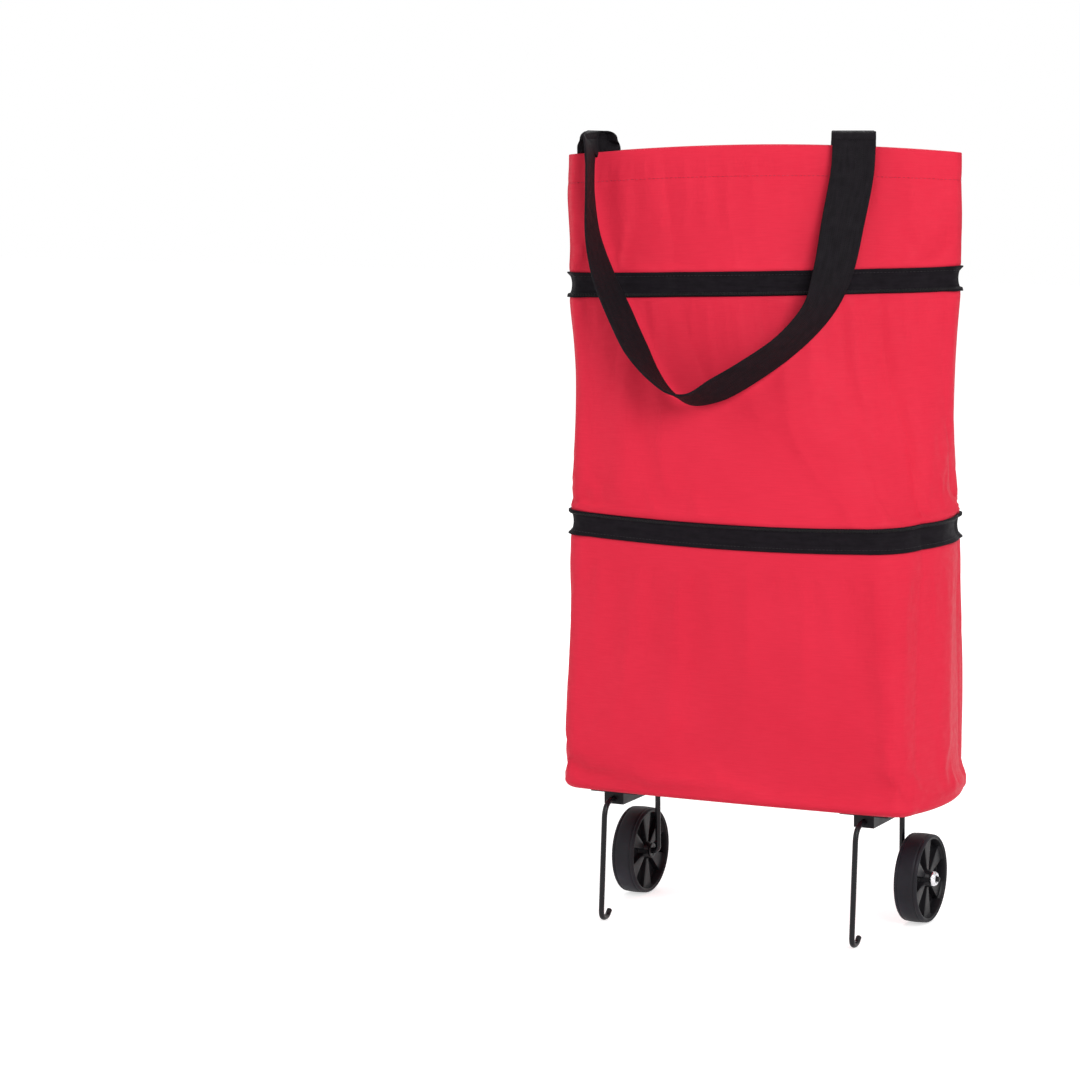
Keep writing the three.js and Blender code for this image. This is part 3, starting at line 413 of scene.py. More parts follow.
# ------------------------------------------------------------------ materials
class Finish:
    """A node material that is built up step by step round one Principled shader."""

    def __init__(self, name, colour, roughness, specular=0.5, **sockets):
        self.material = bpy.data.materials.new(name)
        self.material.use_nodes = True
        self.tree = self.material.node_tree
        self.shader = self.tree.nodes["Principled BSDF"]
        self.shader.inputs["Base Color"].default_value = linear(colour)
        self.shader.inputs["Roughness"].default_value = roughness
        self.shader.inputs["Specular IOR Level"].default_value = specular
        for key, value in sockets.items():
            self.shader.inputs[key.replace("_", " ")].default_value = value
        self.bumped = None

    def node(self, kind, **settings):
        made = self.tree.nodes.new("ShaderNode" + kind)
        for key, value in settings.items():
            setattr(made, key, value)
        return made

    def link(self, source, socket):
        self.tree.links.new(source, socket)

    def math(self, operation, a, b=0.0):
        made = self.node("Math", operation=operation)
        for socket, value in zip(made.inputs, (a, b)):
            if isinstance(value, (int, float)):
                socket.default_value = value
            else:
                self.link(value, socket)
        return made.outputs[0]

    def threads(self):
        return self.node("UVMap", uv_map="threads").outputs["UV"]

    def place(self):
        return self.node("TexCoord").outputs["Object"]

    def noise(self, vector, scale, detail=3.0, stretch=(1, 1, 1)):
        mapping = self.node("Mapping")
        mapping.inputs["Scale"].default_value = stretch
        self.link(vector, mapping.inputs["Vector"])
        made = self.node("TexNoise")
        made.inputs["Scale"].default_value = scale
        made.inputs["Detail"].default_value = detail
        self.link(mapping.outputs[0], made.inputs["Vector"])
        return made.outputs["Fac"]

    def waves(self, vector, pitch_u, pitch_v):
        """Sines across and along the threads, each from -1 to 1."""
        parts = self.node("SeparateXYZ")
        self.link(vector, parts.inputs[0])
        u = self.math("SINE", self.math("MULTIPLY", parts.outputs[0], TAU / pitch_u))
        v = self.math("SINE", self.math("MULTIPLY", parts.outputs[1], TAU / pitch_v))
        return u, v

    def stretch(self, value, low, high):
        made = self.node("MapRange")
        self.link(value, made.inputs["Value"])
        made.inputs["To Min"].default_value = low
        made.inputs["To Max"].default_value = high
        made.inputs["From Min"].default_value = 0.3
        made.inputs["From Max"].default_value = 0.7
        return made.outputs[0]

    def colours(self, factor, first, second):
        made = self.node("Mix", data_type="RGBA")
        self.link(factor, made.inputs[0])
        made.inputs[6].default_value = linear(first)
        made.inputs[7].default_value = linear(second)
        self.link(made.outputs[2], self.shader.inputs["Base Color"])

    def rough(self, factor, low, high):
        self.link(self.stretch(factor, low, high), self.shader.inputs["Roughness"])

    def bump(self, height, distance, strength=1.0):
        made = self.node("Bump")
        made.inputs["Strength"].default_value = strength
        made.inputs["Distance"].default_value = distance
        self.link(height, made.inputs["Height"])
        if self.bumped:
            self.link(self.bumped, made.inputs["Normal"])
        self.bumped = made.outputs[0]
        self.link(self.bumped, self.shader.inputs["Normal"])


def linear(colour):
    """A 0xRRGGBB colour as linear light."""
    parts = [(colour >> shift & 255) / 255 for shift in (16, 8, 0)]
    return (*[c / 12.92 if c < 0.04045 else ((c + 0.055) / 1.055) ** 2.4 for c in parts], 1.0)


def oxford_cloth():
    f = Finish("red_oxford_cloth", 0xE2304A, 0.6, 0.12, Sheen_Weight=0.03, Sheen_Roughness=0.45)
    uv = f.threads()
    u, v = f.waves(uv, 0.0011, 0.0011)
    broad = f.noise(uv, 9.0, 3.0)
    slub = f.noise(uv, 60.0, 2.0, (1, 14, 1))
    shade = f.math("ADD", f.math("MULTIPLY", broad, 0.6), f.math("MULTIPLY", slub, 0.4))
    f.colours(f.stretch(shade, 0, 1), 0xE02841, 0xEB2F49)
    f.rough(f.noise(uv, 140.0, 2.0), 0.52, 0.68)
    f.bump(f.math("MULTIPLY", u, v), 0.00005, 0.7)
    f.bump(broad, 0.0012, 0.35)
    return f.material


def zip_tape():
    f = Finish("black_zip_tape", 0x17131A, 0.72, 0.1, Sheen_Weight=0.01, Sheen_Roughness=0.5)
    uv = f.threads()
    u, v = f.waves(uv, 0.0007, 0.0013)
    f.colours(f.stretch(f.noise(uv, 45.0, 3.0, (1, 8, 1)), 0, 1), 0x0F0B10, 0x171218)
    f.rough(f.noise(uv, 160.0), 0.62, 0.8)
    f.bump(f.math("ADD", f.math("MULTIPLY", u, 0.5), v), 0.00006, 0.8)
    return f.material


def webbing():
    """Narrow ridges along the strap, crossed by a chevron weave."""
    f = Finish("black_webbing", 0x1A161B, 0.7, 0.12, Sheen_Weight=0.01, Sheen_Roughness=0.4)
    uv = f.threads()
    parts = f.node("SeparateXYZ")
    f.link(uv, parts.inputs[0])
    zigzag = f.math("PINGPONG", parts.outputs[0], 0.0019)
    slant = f.math("MULTIPLY", f.math("ADD", parts.outputs[1], zigzag), TAU / 0.0016)
    ridge = f.math("SINE", f.math("MULTIPLY", parts.outputs[0], TAU / 0.0019))
    f.bump(f.math("ADD", f.math("MULTIPLY", ridge, 0.7), f.math("SINE", slant)), 0.0001, 0.9)
    f.colours(f.stretch(f.noise(uv, 55.0, 3.0, (6, 1, 1)), 0, 1), 0x0E0B0F, 0x181419)
    f.rough(f.noise(uv, 120.0), 0.58, 0.76)
    return f.material


def thread(name, dark, light):
    f = Finish(name, light, 0.55, 0.2, Sheen_Weight=0.04)
    place_now = f.place()
    f.colours(f.stretch(f.noise(place_now, 900.0, 1.0), 0, 1), dark, light)
    f.bump(f.noise(place_now, 2600.0, 1.0), 0.0001, 0.6)
    return f.material


def moulded(name, dark, light, low, high, grain=1400.0, depth=0.00005):
    """Moulded plastic or rubber: a fine even grain, with broader handling marks."""
    f = Finish(name, light, (low + high) / 2, 0.2)
    place_now = f.place()
    f.colours(f.stretch(f.noise(place_now, 26.0, 4.0), 0, 1), dark, light)
    f.rough(f.noise(place_now, 60.0, 4.0), low, high)
    f.bump(f.noise(place_now, grain, 2.0), depth, 0.6)
    return f.material


def painted_wire():
    f = Finish("black_painted_wire", 0x131217, 0.3, 0.25)
    place_now = f.place()
    f.colours(f.stretch(f.noise(place_now, 40.0), 0, 1), 0x0E0D11, 0x17161B)
    f.rough(f.noise(place_now, 120.0, 4.0), 0.22, 0.42)
    f.bump(f.noise(place_now, 420.0, 2.0), 0.0002, 0.25)
    return f.material


def plated_steel():
    f = Finish("plated_steel", 0xD6D7DA, 0.22, Metallic=1.0)
    place_now = f.place()
    f.colours(f.stretch(f.noise(place_now, 90.0), 0, 1), 0xC2C4C8, 0xE2E3E6)
    f.rough(f.noise(place_now, 260.0, 4.0), 0.14, 0.34)
    f.bump(f.noise(place_now, 700.0, 2.0), 0.00006, 0.4)
    return f.material


def fibre_board():
    f = Finish("fibre_board", 0x2C2A2C, 0.8)
    place_now = f.place()
    f.colours(f.stretch(f.noise(place_now, 220.0, 6.0, (1, 5, 1)), 0, 1), 0x232123, 0x3A373A)
    f.rough(f.noise(place_now, 300.0), 0.7, 0.9)
    f.bump(f.noise(place_now, 800.0, 4.0), 0.0003, 0.5)
    return f.material


CLOTH, BAND_TAPE, STRAP = oxford_cloth(), zip_tape(), webbing()
RED_THREAD = thread("red_thread", 0xB01C36, 0xE03A54)
BLACK_THREAD = thread("black_thread", 0x121013, 0x2B272C)
COIL = moulded("black_coil", 0x131114, 0x201D21, 0.3, 0.45, 2400.0)
PLASTIC = moulded("black_moulded_plastic", 0x121114, 0x1D1C20, 0.34, 0.52)
RUBBER = moulded("tread_rubber", 0x1B1A1D, 0x282730, 0.5, 0.68, 900.0, 0.00009)
WIRE_PAINT, STEEL, FIBRE = painted_wire(), plated_steel(), fibre_board()


# ------------------------------------------------------------------ cloth that settles
def undulation(grid, height, seed):
    """Soft dents of a thick cloth, in metres out of the surface; none where it is sewn."""
    rng = np.random.default_rng(seed)
    rows, columns = grid.shape[:2]
    u = np.linspace(0, TAU, columns, endpoint=False)[None, :]
    v = np.linspace(0, 1, rows)[:, None]
    total = np.zeros((rows, columns))
    for _ in range(14):
        around, up = rng.integers(1, 9), rng.uniform(0.4, 2.4)
        shift, phase = rng.uniform(0, TAU), rng.uniform(0, TAU)
        wave = np.sin(around * u + shift + 0.8 * np.sin(u + phase)) * np.cos(up * TAU * v / 2 + phase)
        total += wave / (1 + 0.35 * around)
    return total / np.abs(total).max() * height


def settled(grid, seed, pinned_rows=3, cap=0.0045, growth=0.012, dents=0.0024, frames=22):
    """The cloth after a short simulation: sewn at both edges, a little slack in between."""
    rows, columns = grid.shape[:2]
    held = np.minimum(np.arange(rows), np.arange(rows)[::-1])
    ease = smooth(0, 9, held - pinned_rows + 1)[:, None, None]
    start = grid + open_normals(grid) * undulation(grid, dents, seed)[..., None] * ease
    cloth = mesh_object("settling", start.reshape(-1, 3), sleeve_quads(rows, columns))
    pins = cloth.vertex_groups.new(name="sewn")
    for row in np.flatnonzero(held < pinned_rows):
        pins.add(list(range(row * columns, (row + 1) * columns)), 1.0, "REPLACE")
    modifier = cloth.modifiers.new("cloth", "CLOTH")
    s = modifier.settings
    s.quality, s.mass, s.vertex_group_mass = 6, 0.25, "sewn"
    s.tension_stiffness = s.compression_stiffness = 30
    s.shear_stiffness, s.bending_stiffness = 20, 3.5
    s.tension_damping = s.compression_damping = s.shear_damping = 12
    s.bending_damping, s.air_damping, s.shrink_min = 4, 3, -growth
    s.effector_weights.gravity = 0.35
    modifier.collision_settings.use_collision = False
    modifier.point_cache.frame_end = frames
    scene = bpy.context.scene
    for f in range(1, frames + 1):
        scene.frame_set(f)
    done = cloth.evaluated_get(bpy.context.evaluated_depsgraph_get())
    moved = np.zeros(rows * columns * 3, np.float32)
    done.data.vertices.foreach_get("co", moved)
    moved = moved.reshape(grid.shape).astype(float) - start
    scene.frame_set(1)
    bpy.data.objects.remove(cloth)
    size = np.linalg.norm(moved, axis=-1, keepdims=True)
    return start + moved * cap * np.tanh(size / cap) / np.maximum(size, 1e-9)


def cloth_rows(low, high, tuck_low, tuck_high, spacing=0.0045):
    """The section's outer surface, with its sewn edges drawn in behind the tape."""
    heights = list(np.linspace(low, high, int((high - low) / spacing) + 1))
    rows = [ring(h) for h in heights]

    def tucked(height, way, share):
        dip = END_DIP * share * ends_share(outline(height)[:, 0])
        return ring(height, TAPE + 0.0008 + dip) + UP * TUCK * share * way

    if tuck_low:
        rows = [tucked(low, -1, share) for share in (1, 0.5)] + rows
        rows[2] = ring(low, 0.0004)
    if tuck_high:
        rows[-1] = ring(high, 0.0004)
        rows += [tucked(high, 1, share) for share in (0.5, 1)]
    return np.stack(rows)


def bottom_round():
    """The bottom edge's rounding all round the bag."""
    flat = outline(GROUND_CLEARANCE)
    starts = flat[np.cumsum([0] + QUARTERS[:3])]
    nearest = np.linalg.norm(flat[:, None] - starts[None], axis=-1).min(1)
    return lerp(BOTTOM_ROUND, CORNER_ROUND, np.exp(-(nearest / 0.024) ** 2))


def section(name, body, grid, thickness, row, height, rests_on):
    """One of the bag's three sections. Its row and height arguments are not used."""
    piece = shell(f"{name}_section", grid, thickness, CLOTH)
    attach(piece, body)
    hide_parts(*[f"{name}_{panel}" for panel in PANELS])
    return piece


def lower_section():
    """The walls, turned in under the bag to meet the floor."""
    rows = cloth_rows(GROUND_CLEARANCE + CORNER_ROUND, LOWER_BAND - SEAM_GAP, False, True)
    rounding = bottom_round()
    turns = [
        ring(GROUND_CLEARANCE, rounding * (1 - math.sin(t))) + np.outer(rounding * (1 - math.cos(t)), UP)
        for t in (0.0, 0.3, 0.6, 0.9, 1.2, 1.4)
    ]
    grid = settled(np.concatenate([np.stack(turns), rows]), 5, 7)
    section("lower", "base", grid, FABRIC, 30, LOWER_BAND - GROUND_CLEARANCE + TUCK, "base_board")


def bag_floor():
    """The bottom cloth, flat between its seams."""
    edge = outline(GROUND_CLEARANCE, bottom_round() + 0.0002)
    middle = edge.mean(0)
    rings = []
    for share in np.linspace(1, 0.04, 16):
        flat = middle + (edge - middle) * share
        rings.append(place(flat[:, 0], flat[:, 1], np.full(len(flat), GROUND_CLEARANCE + 0.0001)))
    outer = np.stack(rings)
    inner = outer[::-1] + UP * 0.0012
    piece = grid_piece("bag_floor", np.concatenate([outer, inner]), CLOTH)
    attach(piece, "base")
    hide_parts("floor_panel")


def middle_section():
    grid = settled(cloth_rows(MIDDLE_START + SEAM_GAP, UPPER_BAND - SEAM_GAP, True, True), 11)
    height = UPPER_BAND - MIDDLE_START + 2 * TUCK
    piece = section("middle", "base", grid, FABRIC, 24, height, "upper_zip_tape")
    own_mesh(piece)


def upper_section():
    """The top of the bag: its mouth is hemmed, so it is double there."""
    rows = cloth_rows(UPPER_START + SEAM_GAP, RIM - 0.0002, True, False, 0.0036)
    grid = settled(rows, 23, 3, 0.003, 0.008)
    heights = RIM - (grid[:, :, 2].mean(1))
    groove = np.exp(-((heights - HEM) / 0.0016) ** 2) * 0.0005
    swell = smooth(HEM + 0.002, HEM - 0.004, heights) * 0.0003
    grid = grid + open_normals(grid) * (swell - groove)[:, None, None]
    thickness = FABRIC + 0.0007 * (heights < HEM + 0.001)
    section("upper", "upper", grid, thickness, 20, RIM - UPPER_START + TUCK, "upper_zip_tape")
    row = int(np.argmin(np.abs(heights - HEM)))
    normal = open_normals(grid)[row]
    hem = stitching("hem_stitching", [(grid[row] + normal * 0.0001, normal, True)], RED_THREAD)
    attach(hem, "upper")


def ends_share(flat_along):
    """1 at the folded bag's two ends and 0 along its faces."""
    return smooth(0.90, 0.99, np.abs(flat_along) / np.abs(flat_along).max())


def zip_band(name, low, high, body, teeth_at_top):
    """The zip tape with its two sewn lips, its stitches, and the coil along one edge."""
    along = outline(low)[:, 0]
    dip = END_DIP * ends_share(along)
    rows = []
    for share in np.linspace(0, 1, 17):
        lip = 0.0009 * (math.exp(-(share / 0.10) ** 2) + math.exp(-((1 - share) / 0.10) ** 2))
        hollow = math.sin(math.pi * share) ** 0.8
        rows.append(ring(lerp(low, high, share), dip * hollow - lip * (1 + 1.2 * ends_share(along)) - 0.0002))
    grid = np.stack(rows)
    band = shell(name, grid, TAPE, BAND_TAPE)
    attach(band, body)
    section = name.split("_")[0]
    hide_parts(f"{section}_zip_tape")
    normal = open_normals(grid)
    sewn = [(grid[r] + normal[r] * 0.0001, normal[r], True) for r in (2, 14)]
    threads = stitching(f"{name}_stitching", sewn, BLACK_THREAD, 0.0024, 0.0008, 0.0003)
    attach(threads, body)
    edge = 15 if teeth_at_top else 1
    shape, faces = bead(0.0011, 0.0030, 0.0014, 5, 8, 0.35)
    at, axes = along_line(grid[edge] + normal[edge] * 0.0004, normal[edge], 0.0015)
    coil = scattered(f"{name}_coil", shape, faces, at, axes, COIL)
    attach(coil, body)
    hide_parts(f"{section}_zip_teeth")


# ------------------------------------------------------------------ zip slider and snap
def rounded_bar(length, halves, power=4, rings=17, sides=32):
    """A rounded block: halves(share) gives its half width and half height along its length."""
    turn = np.linspace(0, TAU, sides, endpoint=False)
    c, s = np.cos(turn), np.sin(turn)
    square = np.stack([np.sign(c) * np.abs(c) ** (2 / power), np.sign(s) * np.abs(s) ** (2 / power)], 1)
    rows = []
    for t in np.sin(np.linspace(-math.pi / 2, math.pi / 2, rings)) * 0.999:
        wide, high = halves((t + 1) / 2)
        close = (1 - abs(t) ** 9) ** (1 / 3)
        rows.append([[length / 2 * t, wide * close * y, high * close * z] for y, z in square])
    return np.array(rows)


BRIDGE_STANDS_OUT = 0.00665  # from the slider's middle to the bridge that its tab hangs on


def zip_slider():
    """The slider with its bridge, and the pull tab that swings on it."""
    swing = joint("zip_pull_swing")
    along = -unit(np.array(swing["axis"], float))
    inward = np.cross(UP, along)
    axes = np.stack([along, inward, UP])
    pivot = np.array(swing["pos_m"])
    centre = pivot + inward * BRIDGE_STANDS_OUT

    def lay(grid, origin=centre):
        return origin + np.asarray(grid) @ axes

    front = rounded_bar(0.0150, lambda t: (0.00085, lerp(0.0045, 0.0034, smooth(0.3, 1, t))))
    core = rounded_bar(0.0118, lambda t: (0.0017, lerp(0.0030, 0.0018, t)))
    plates = [lay(front + [0, y, 0]) for y in (-0.00425, -0.00195)] + [lay(core + [0, -0.0031, 0])]
    body = grid_pieces("slider_body", plates, STEEL)
    reach, half = -0.0086, 0.0038
    path = bent_path([(np.array(p), bend) for p, bend in (
        ((0.0, -0.0048, -half), 0), ((0.0, reach, -half), 0.0016),
        ((0.0, reach, half), 0.0016), ((0.0, -0.0048, half), 0))], 8)
    bridge = tube("slider_bridge", lay(path), 0.0007, STEEL, 16)
    for piece in (body, bridge):
        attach(piece, "zip_slider")
        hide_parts("zip_slider")

    def capsule(half_wide, low, high, corner, count=64):
        """An upright outline with rounded corners at both ends."""
        turn = (np.arange(count) + 0.5) / count * TAU
        c, s = np.cos(turn), np.sin(turn)
        x = np.sign(c) * (half_wide - corner) + corner * c
        z = np.where(s > 0, high - corner, low + corner) + corner * s
        return np.stack([x, z], 1)

    deep = 0.0008
    rings = []
    back = [(0.0, -deep * 0.4), (0.0003, -deep), (None, -deep)]  # (grown by, depth); None is the rim
    for edge, y in [*back, *[(edge, -y) for edge, y in back[::-1]]]:
        if edge is None:
            inset = 0.0004
            flat = capsule(0.0035 - inset, -0.026 + inset, 0.0009 - 0.0001, 0.0009)
        else:
            flat = capsule(0.0018 + edge, -0.0058 - edge, -0.0009 + edge * 0.3, 0.0007)
        rings.append(np.stack([flat[:, 0], np.full(len(flat), y), flat[:, 1]], 1))
    rim = capsule(0.0035, -0.026, 0.0009, 0.0010)
    edges = [np.stack([rim[:, 0], np.full(len(rim), y), rim[:, 1]], 1) for y in (-deep * 0.5, deep * 0.5)]
    tab = grid_piece("slider_pull", lay(np.stack([*rings[:3], *edges, *rings[3:]]), pivot), STEEL)
    tab.data.set_sharp_from_angle(angle=math.radians(35))
    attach(tab, "zip_pull")
    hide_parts("zip_pull_tab")


def snap(node, facing, middle_rise):
    """One half of the snap at the middle of the mouth, inside the bag."""
    half = 0.0012
    profile = [(0.0006, -half), (0.0056, -half), (0.0060, -half + 0.0003), (0.0060, -0.0003),
               (0.0055, 0.0), (0.0046, -0.0001), (0.0040, -0.0003), (middle_rise + 0.0003, -0.0002),
               (middle_rise, 0.0002), (middle_rise - 0.0002, half - 0.0003), (middle_rise - 0.0006, half),
               (0.0006, half - 0.0002)]
    piece = lathe(f"{node}_button", profile, box_middle(node), STEEL, 64, -OUT * facing)
    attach(piece, "upper")
    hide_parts(node)


# ------------------------------------------------------------------ handles
def rounded_line(points, steps):
    """A centripetal Catmull-Rom curve through the points: (place, share of the way) at each step."""
    p = np.array(points)
    p = np.concatenate([[2 * p[0] - p[1]], p, [2 * p[-1] - p[-2]]])
    line = []
    for t in np.linspace(0, len(points) - 1, steps + 1):
        i = min(int(t), len(points) - 2)
        w = t - i
        a, b, c, d = p[i:i + 4]
        gaps = [np.linalg.norm(y - x) ** 0.5 for x, y in ((a, b), (b, c), (c, d))]
        into = ((b - a) / gaps[0] - (c - a) / (gaps[0] + gaps[1]) + (c - b) / gaps[1]) * gaps[1]
        leave = ((c - b) / gaps[1] - (d - b) / (gaps[1] + gaps[2]) + (d - c) / gaps[2]) * gaps[1]
        cubic = b + into * w + (3 * (c - b) - 2 * into - leave) * w ** 2
        line.append(cubic + (2 * (b - c) + into + leave) * w ** 3)
    return np.array(line)


def strap(name, centre, across, face):
    """Flat webbing through centres, with its width direction and face normal at each."""
    half, deep = WEBBING / 2, WEBBING_THICKNESS / 2
    flats = np.linspace(-half + deep, half - deep, 9)
    turn = np.linspace(-math.pi / 2, math.pi / 2, 6)[1:-1]
    section = [(x, -deep) for x in flats]
    section += [(half - deep + deep * math.cos(t), deep * math.sin(t)) for t in turn]
    section += [(x, deep) for x in flats[::-1]]
    section += [(-half + deep - deep * math.cos(t), -deep * math.sin(t)) for t in turn]
    section = np.array(section)
    grid = centre[:, None] + section[None, :, :1] * across[:, None] + section[None, :, 1:] * face[:, None]
    rows, columns = grid.shape[:2]
    r, c = np.meshgrid(np.arange(rows - 1), np.arange(columns), indexing="ij")
    width = np.concatenate([section[:, 0], section[:1, 0]])
    length = lengths_along(centre)
    uv = corner_uv(width, length, r, c).reshape(-1, 2)
    faces = [tuple(q) for q in sleeve_quads(rows, columns)]
    faces += [tuple(range(columns))[::-1], tuple(range((rows - 1) * columns, rows * columns))]
    cap_uv = [(w, 0.0) for w in width[:columns]][::-1] + [(w, length[-1]) for w in width[:columns]]
    piece = mesh_object(name, grid.reshape(-1, 3), faces, np.concatenate([uv, cap_uv]), STRAP)
    return facing_out(piece)


# The hanging loop's route: its share of the way from the left strap to the right one, its
# stand-off from the cloth, its drop below the fold, and the turn of the strap about its line.
FOLD_TWIST = 74  # the left strap has already turned this far where it leaves its fold
RIM_TWIST = 34  # where it leaves the bag it has already turned this far
FOLD_LEAN = (0.0105, 0.006)  # and its fold reaches this much farther out and to the left
HANGING_ROUTE = [
    (0, 0, 0, FOLD_TWIST), (-0.028, 0.0195, 0.009, 80), (-0.029, 0.020, 0.022, 84),
    (-0.029, 0.022, 0.048, 84), (-0.018, 0.023, 0.084, 75), (0.022, 0.021, 0.118, 64),
    (0.083, 0.020, 0.150, 60), (0.146, 0.020, 0.180, 62), (0.212, 0.021, 0.203, 78),
    (0.285, 0.021, 0.219, 92), (0.357, 0.021, 0.224, 110), (0.464, 0.020, 0.215, 129),
    (0.59, 0.017, 0.199, 129), (0.73, 0.014, 0.177, 127), (0.85, 0.011, 0.148, 134),
    (0.912, 0.009, 0.116, 156), (0.955, 0.008, 0.070, 172), (0.99, 0.009, 0.028, 179),
    (1, 0, 0, 180),
]
LOOP_STEPS = 150


def handle(name, facing):
    """One webbing handle: two sewn ends, two turns over the rim, and the loop between them."""
    swing = joint(f"{name}_handle_swing")
    across = np.array(swing["axis"]) * (1 if swing["axis"][0] > 0 else -1)
    outward = unit(np.cross(across, UP)) * facing
    hands = ("left", "right")
    folds = [np.array([*box_middle(f"{name}_handle_{hand}_fold")[:2], swing["pos_m"][2]]) for hand in hands]
    for hand, middle in zip(hands, folds):
        leans = hand == "left"
        sewn_end(f"{name}_strap_{hand}_end", f"{name}_handle_{hand}_end", middle, across, outward, leans)
        angle = np.linspace(0, math.pi, 41)[:, None]
        radial = -np.cos(angle) * outward + np.sin(angle) * UP
        heading = unit(np.sin(angle) * outward + np.cos(angle) * UP)
        twist = leans * np.radians(lerp(RIM_TWIST, FOLD_TWIST, smooth(0, 0.75, angle / math.pi)))
        wide = across * np.cos(twist) - outward * np.sin(twist)
        reach = outward * FOLD_LEAN[0] - across * FOLD_LEAN[1]
        lean = reach * leans * smooth(0.25, 1, angle / math.pi)
        fold = strap(f"{name}_strap_{hand}_fold", middle + FOLD_RADIUS * radial + lean,
                     wide, unit(np.cross(wide, heading)))
        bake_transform(fold)
        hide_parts(f"{name}_handle_{hand}_fold")
    hanging_loop(name, facing, folds, across, outward)


def hanging_loop(name, facing, folds, across, outward):
    left = STRAP_INSET - HALF_DIAGONAL
    points, turns = [], []
    for share, off, drop, turn in HANGING_ROUTE:
        z = folds[0][2] - drop
        turns.append(math.radians(turn))
        if off == 0:
            lean = (outward * FOLD_LEAN[0] - across * FOLD_LEAN[1]) * (1 - share)
            points.append(folds[share] + outward * FOLD_RADIUS + lean)
            continue
        along = left + share * STRAP_SPACING
        spread = [surface_out(facing, along + w * WEBBING, z) for w in (-0.35, 0, 0.35)]
        fullest = max(*spread, surface_out(facing, along, min(z, RIM) - 0.35 * WEBBING))
        points.append(place(along, facing * (fullest + off), z))
    line = rounded_line(points, LOOP_STEPS)
    heading = unit(np.gradient(line, axis=0))
    t = np.linspace(0, len(turns) - 1, LOOP_STEPS + 1)
    turn = np.interp(t, np.arange(len(turns)), turns)
    for _ in range(6):
        turn[1:-1] = (turn[:-2] + 2 * turn[1:-1] + turn[2:]) / 4
    flat = unit(np.cross(heading, outward))
    face = unit(np.cross(flat, heading))
    wide = flat * np.cos(turn)[:, None] + face * facing * np.sin(turn)[:, None]
    wide = wide if wide[0] @ across > 0 else -wide
    for i in range(1, len(wide)):
        if wide[i] @ wide[i - 1] < 0:
            wide[i:] *= -1
    ease = smooth(0, 6, np.arange(LOOP_STEPS + 1))[:, None]
    twist = math.radians(FOLD_TWIST)
    wide = unit(lerp(across * math.cos(twist) - outward * math.sin(twist), wide, ease))
    last = across if wide[-1] @ across > 0 else -across
    wide = unit(lerp(last, wide, ease[::-1]))
    normal = unit(np.cross(wide, heading))
    piece = strap(f"{name}_strap_loop", line, wide, normal)
    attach(piece, f"{name}_handle")
    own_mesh(piece)
    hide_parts(f"{name}_handle_loop")


def sewn_end(name, node, middle, across, outward, leans):
    """The strap's end inside the bag, sewn down with a crossed box."""
    top = middle - outward * FOLD_RADIUS
    drop = np.linspace(0, middle[2] - (RIM - SEWN_LENGTH), 24)[:, None]
    centre = top - UP * drop
    twist = leans * math.radians(RIM_TWIST) * smooth(RIM - 0.004, middle[2], centre[:, 2:])
    wide = across * np.cos(twist) - outward * np.sin(twist)
    end = strap(name, centre, wide, unit(np.cross(wide, UP)))
    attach(end, "upper")
    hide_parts(node)
    half, low, high = WEBBING / 2 - 0.003, centre[-1][2] + 0.003, RIM - 0.004
    corners = [(-half, low), (half, low), (half, high), (-half, high)]
    runs = [(corners[i], corners[(i + 1) % 4]) for i in range(4)]
    runs += [(corners[0], corners[2]), (corners[1], corners[3])]
    lines = []
    for facing in (-1, 1):
        for (a, b), (c, d) in runs:
            share = np.linspace(0, 1, 20)[:, None]
            flat = lerp(np.array([a, b]), np.array([c, d]), share)
            line = top * [1, 1, 0] + flat[:, :1] * across + flat[:, 1:] * UP
            line = line + outward * facing * (WEBBING_THICKNESS / 2 + 0.0001)
            lines.append((line, np.tile(outward * facing, (20, 1)), False))
    threads = stitching(f"{name}_stitching", lines, BLACK_THREAD, 0.0026, 0.0008, 0.0003)
    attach(threads, "upper")


# ------------------------------------------------------------------ legs and wheels
def bent_path(corners, steps=14):
    """Straight runs joined by round bends; each corner is (point, how far back its bend starts)."""
    points = [corners[0][0]]
    for (before, _), (here, bend), (after, _) in zip(corners, corners[1:], corners[2:]):
        start = here + unit(before - here) * bend
        stop = here + unit(after - here) * bend
        run = np.linspace(0, 1, 6)[1:-1, None]
        points += list(lerp(points[-1], start, run))
        t = np.linspace(0, 1, steps)[:, None]
        points += list(start * (1 - t) ** 2 + here * 2 * t * (1 - t) + stop * t * t)
    points += list(lerp(points[-1], corners[-1][0], np.linspace(0, 1, 8)[1:, None]))
    return np.array(points)


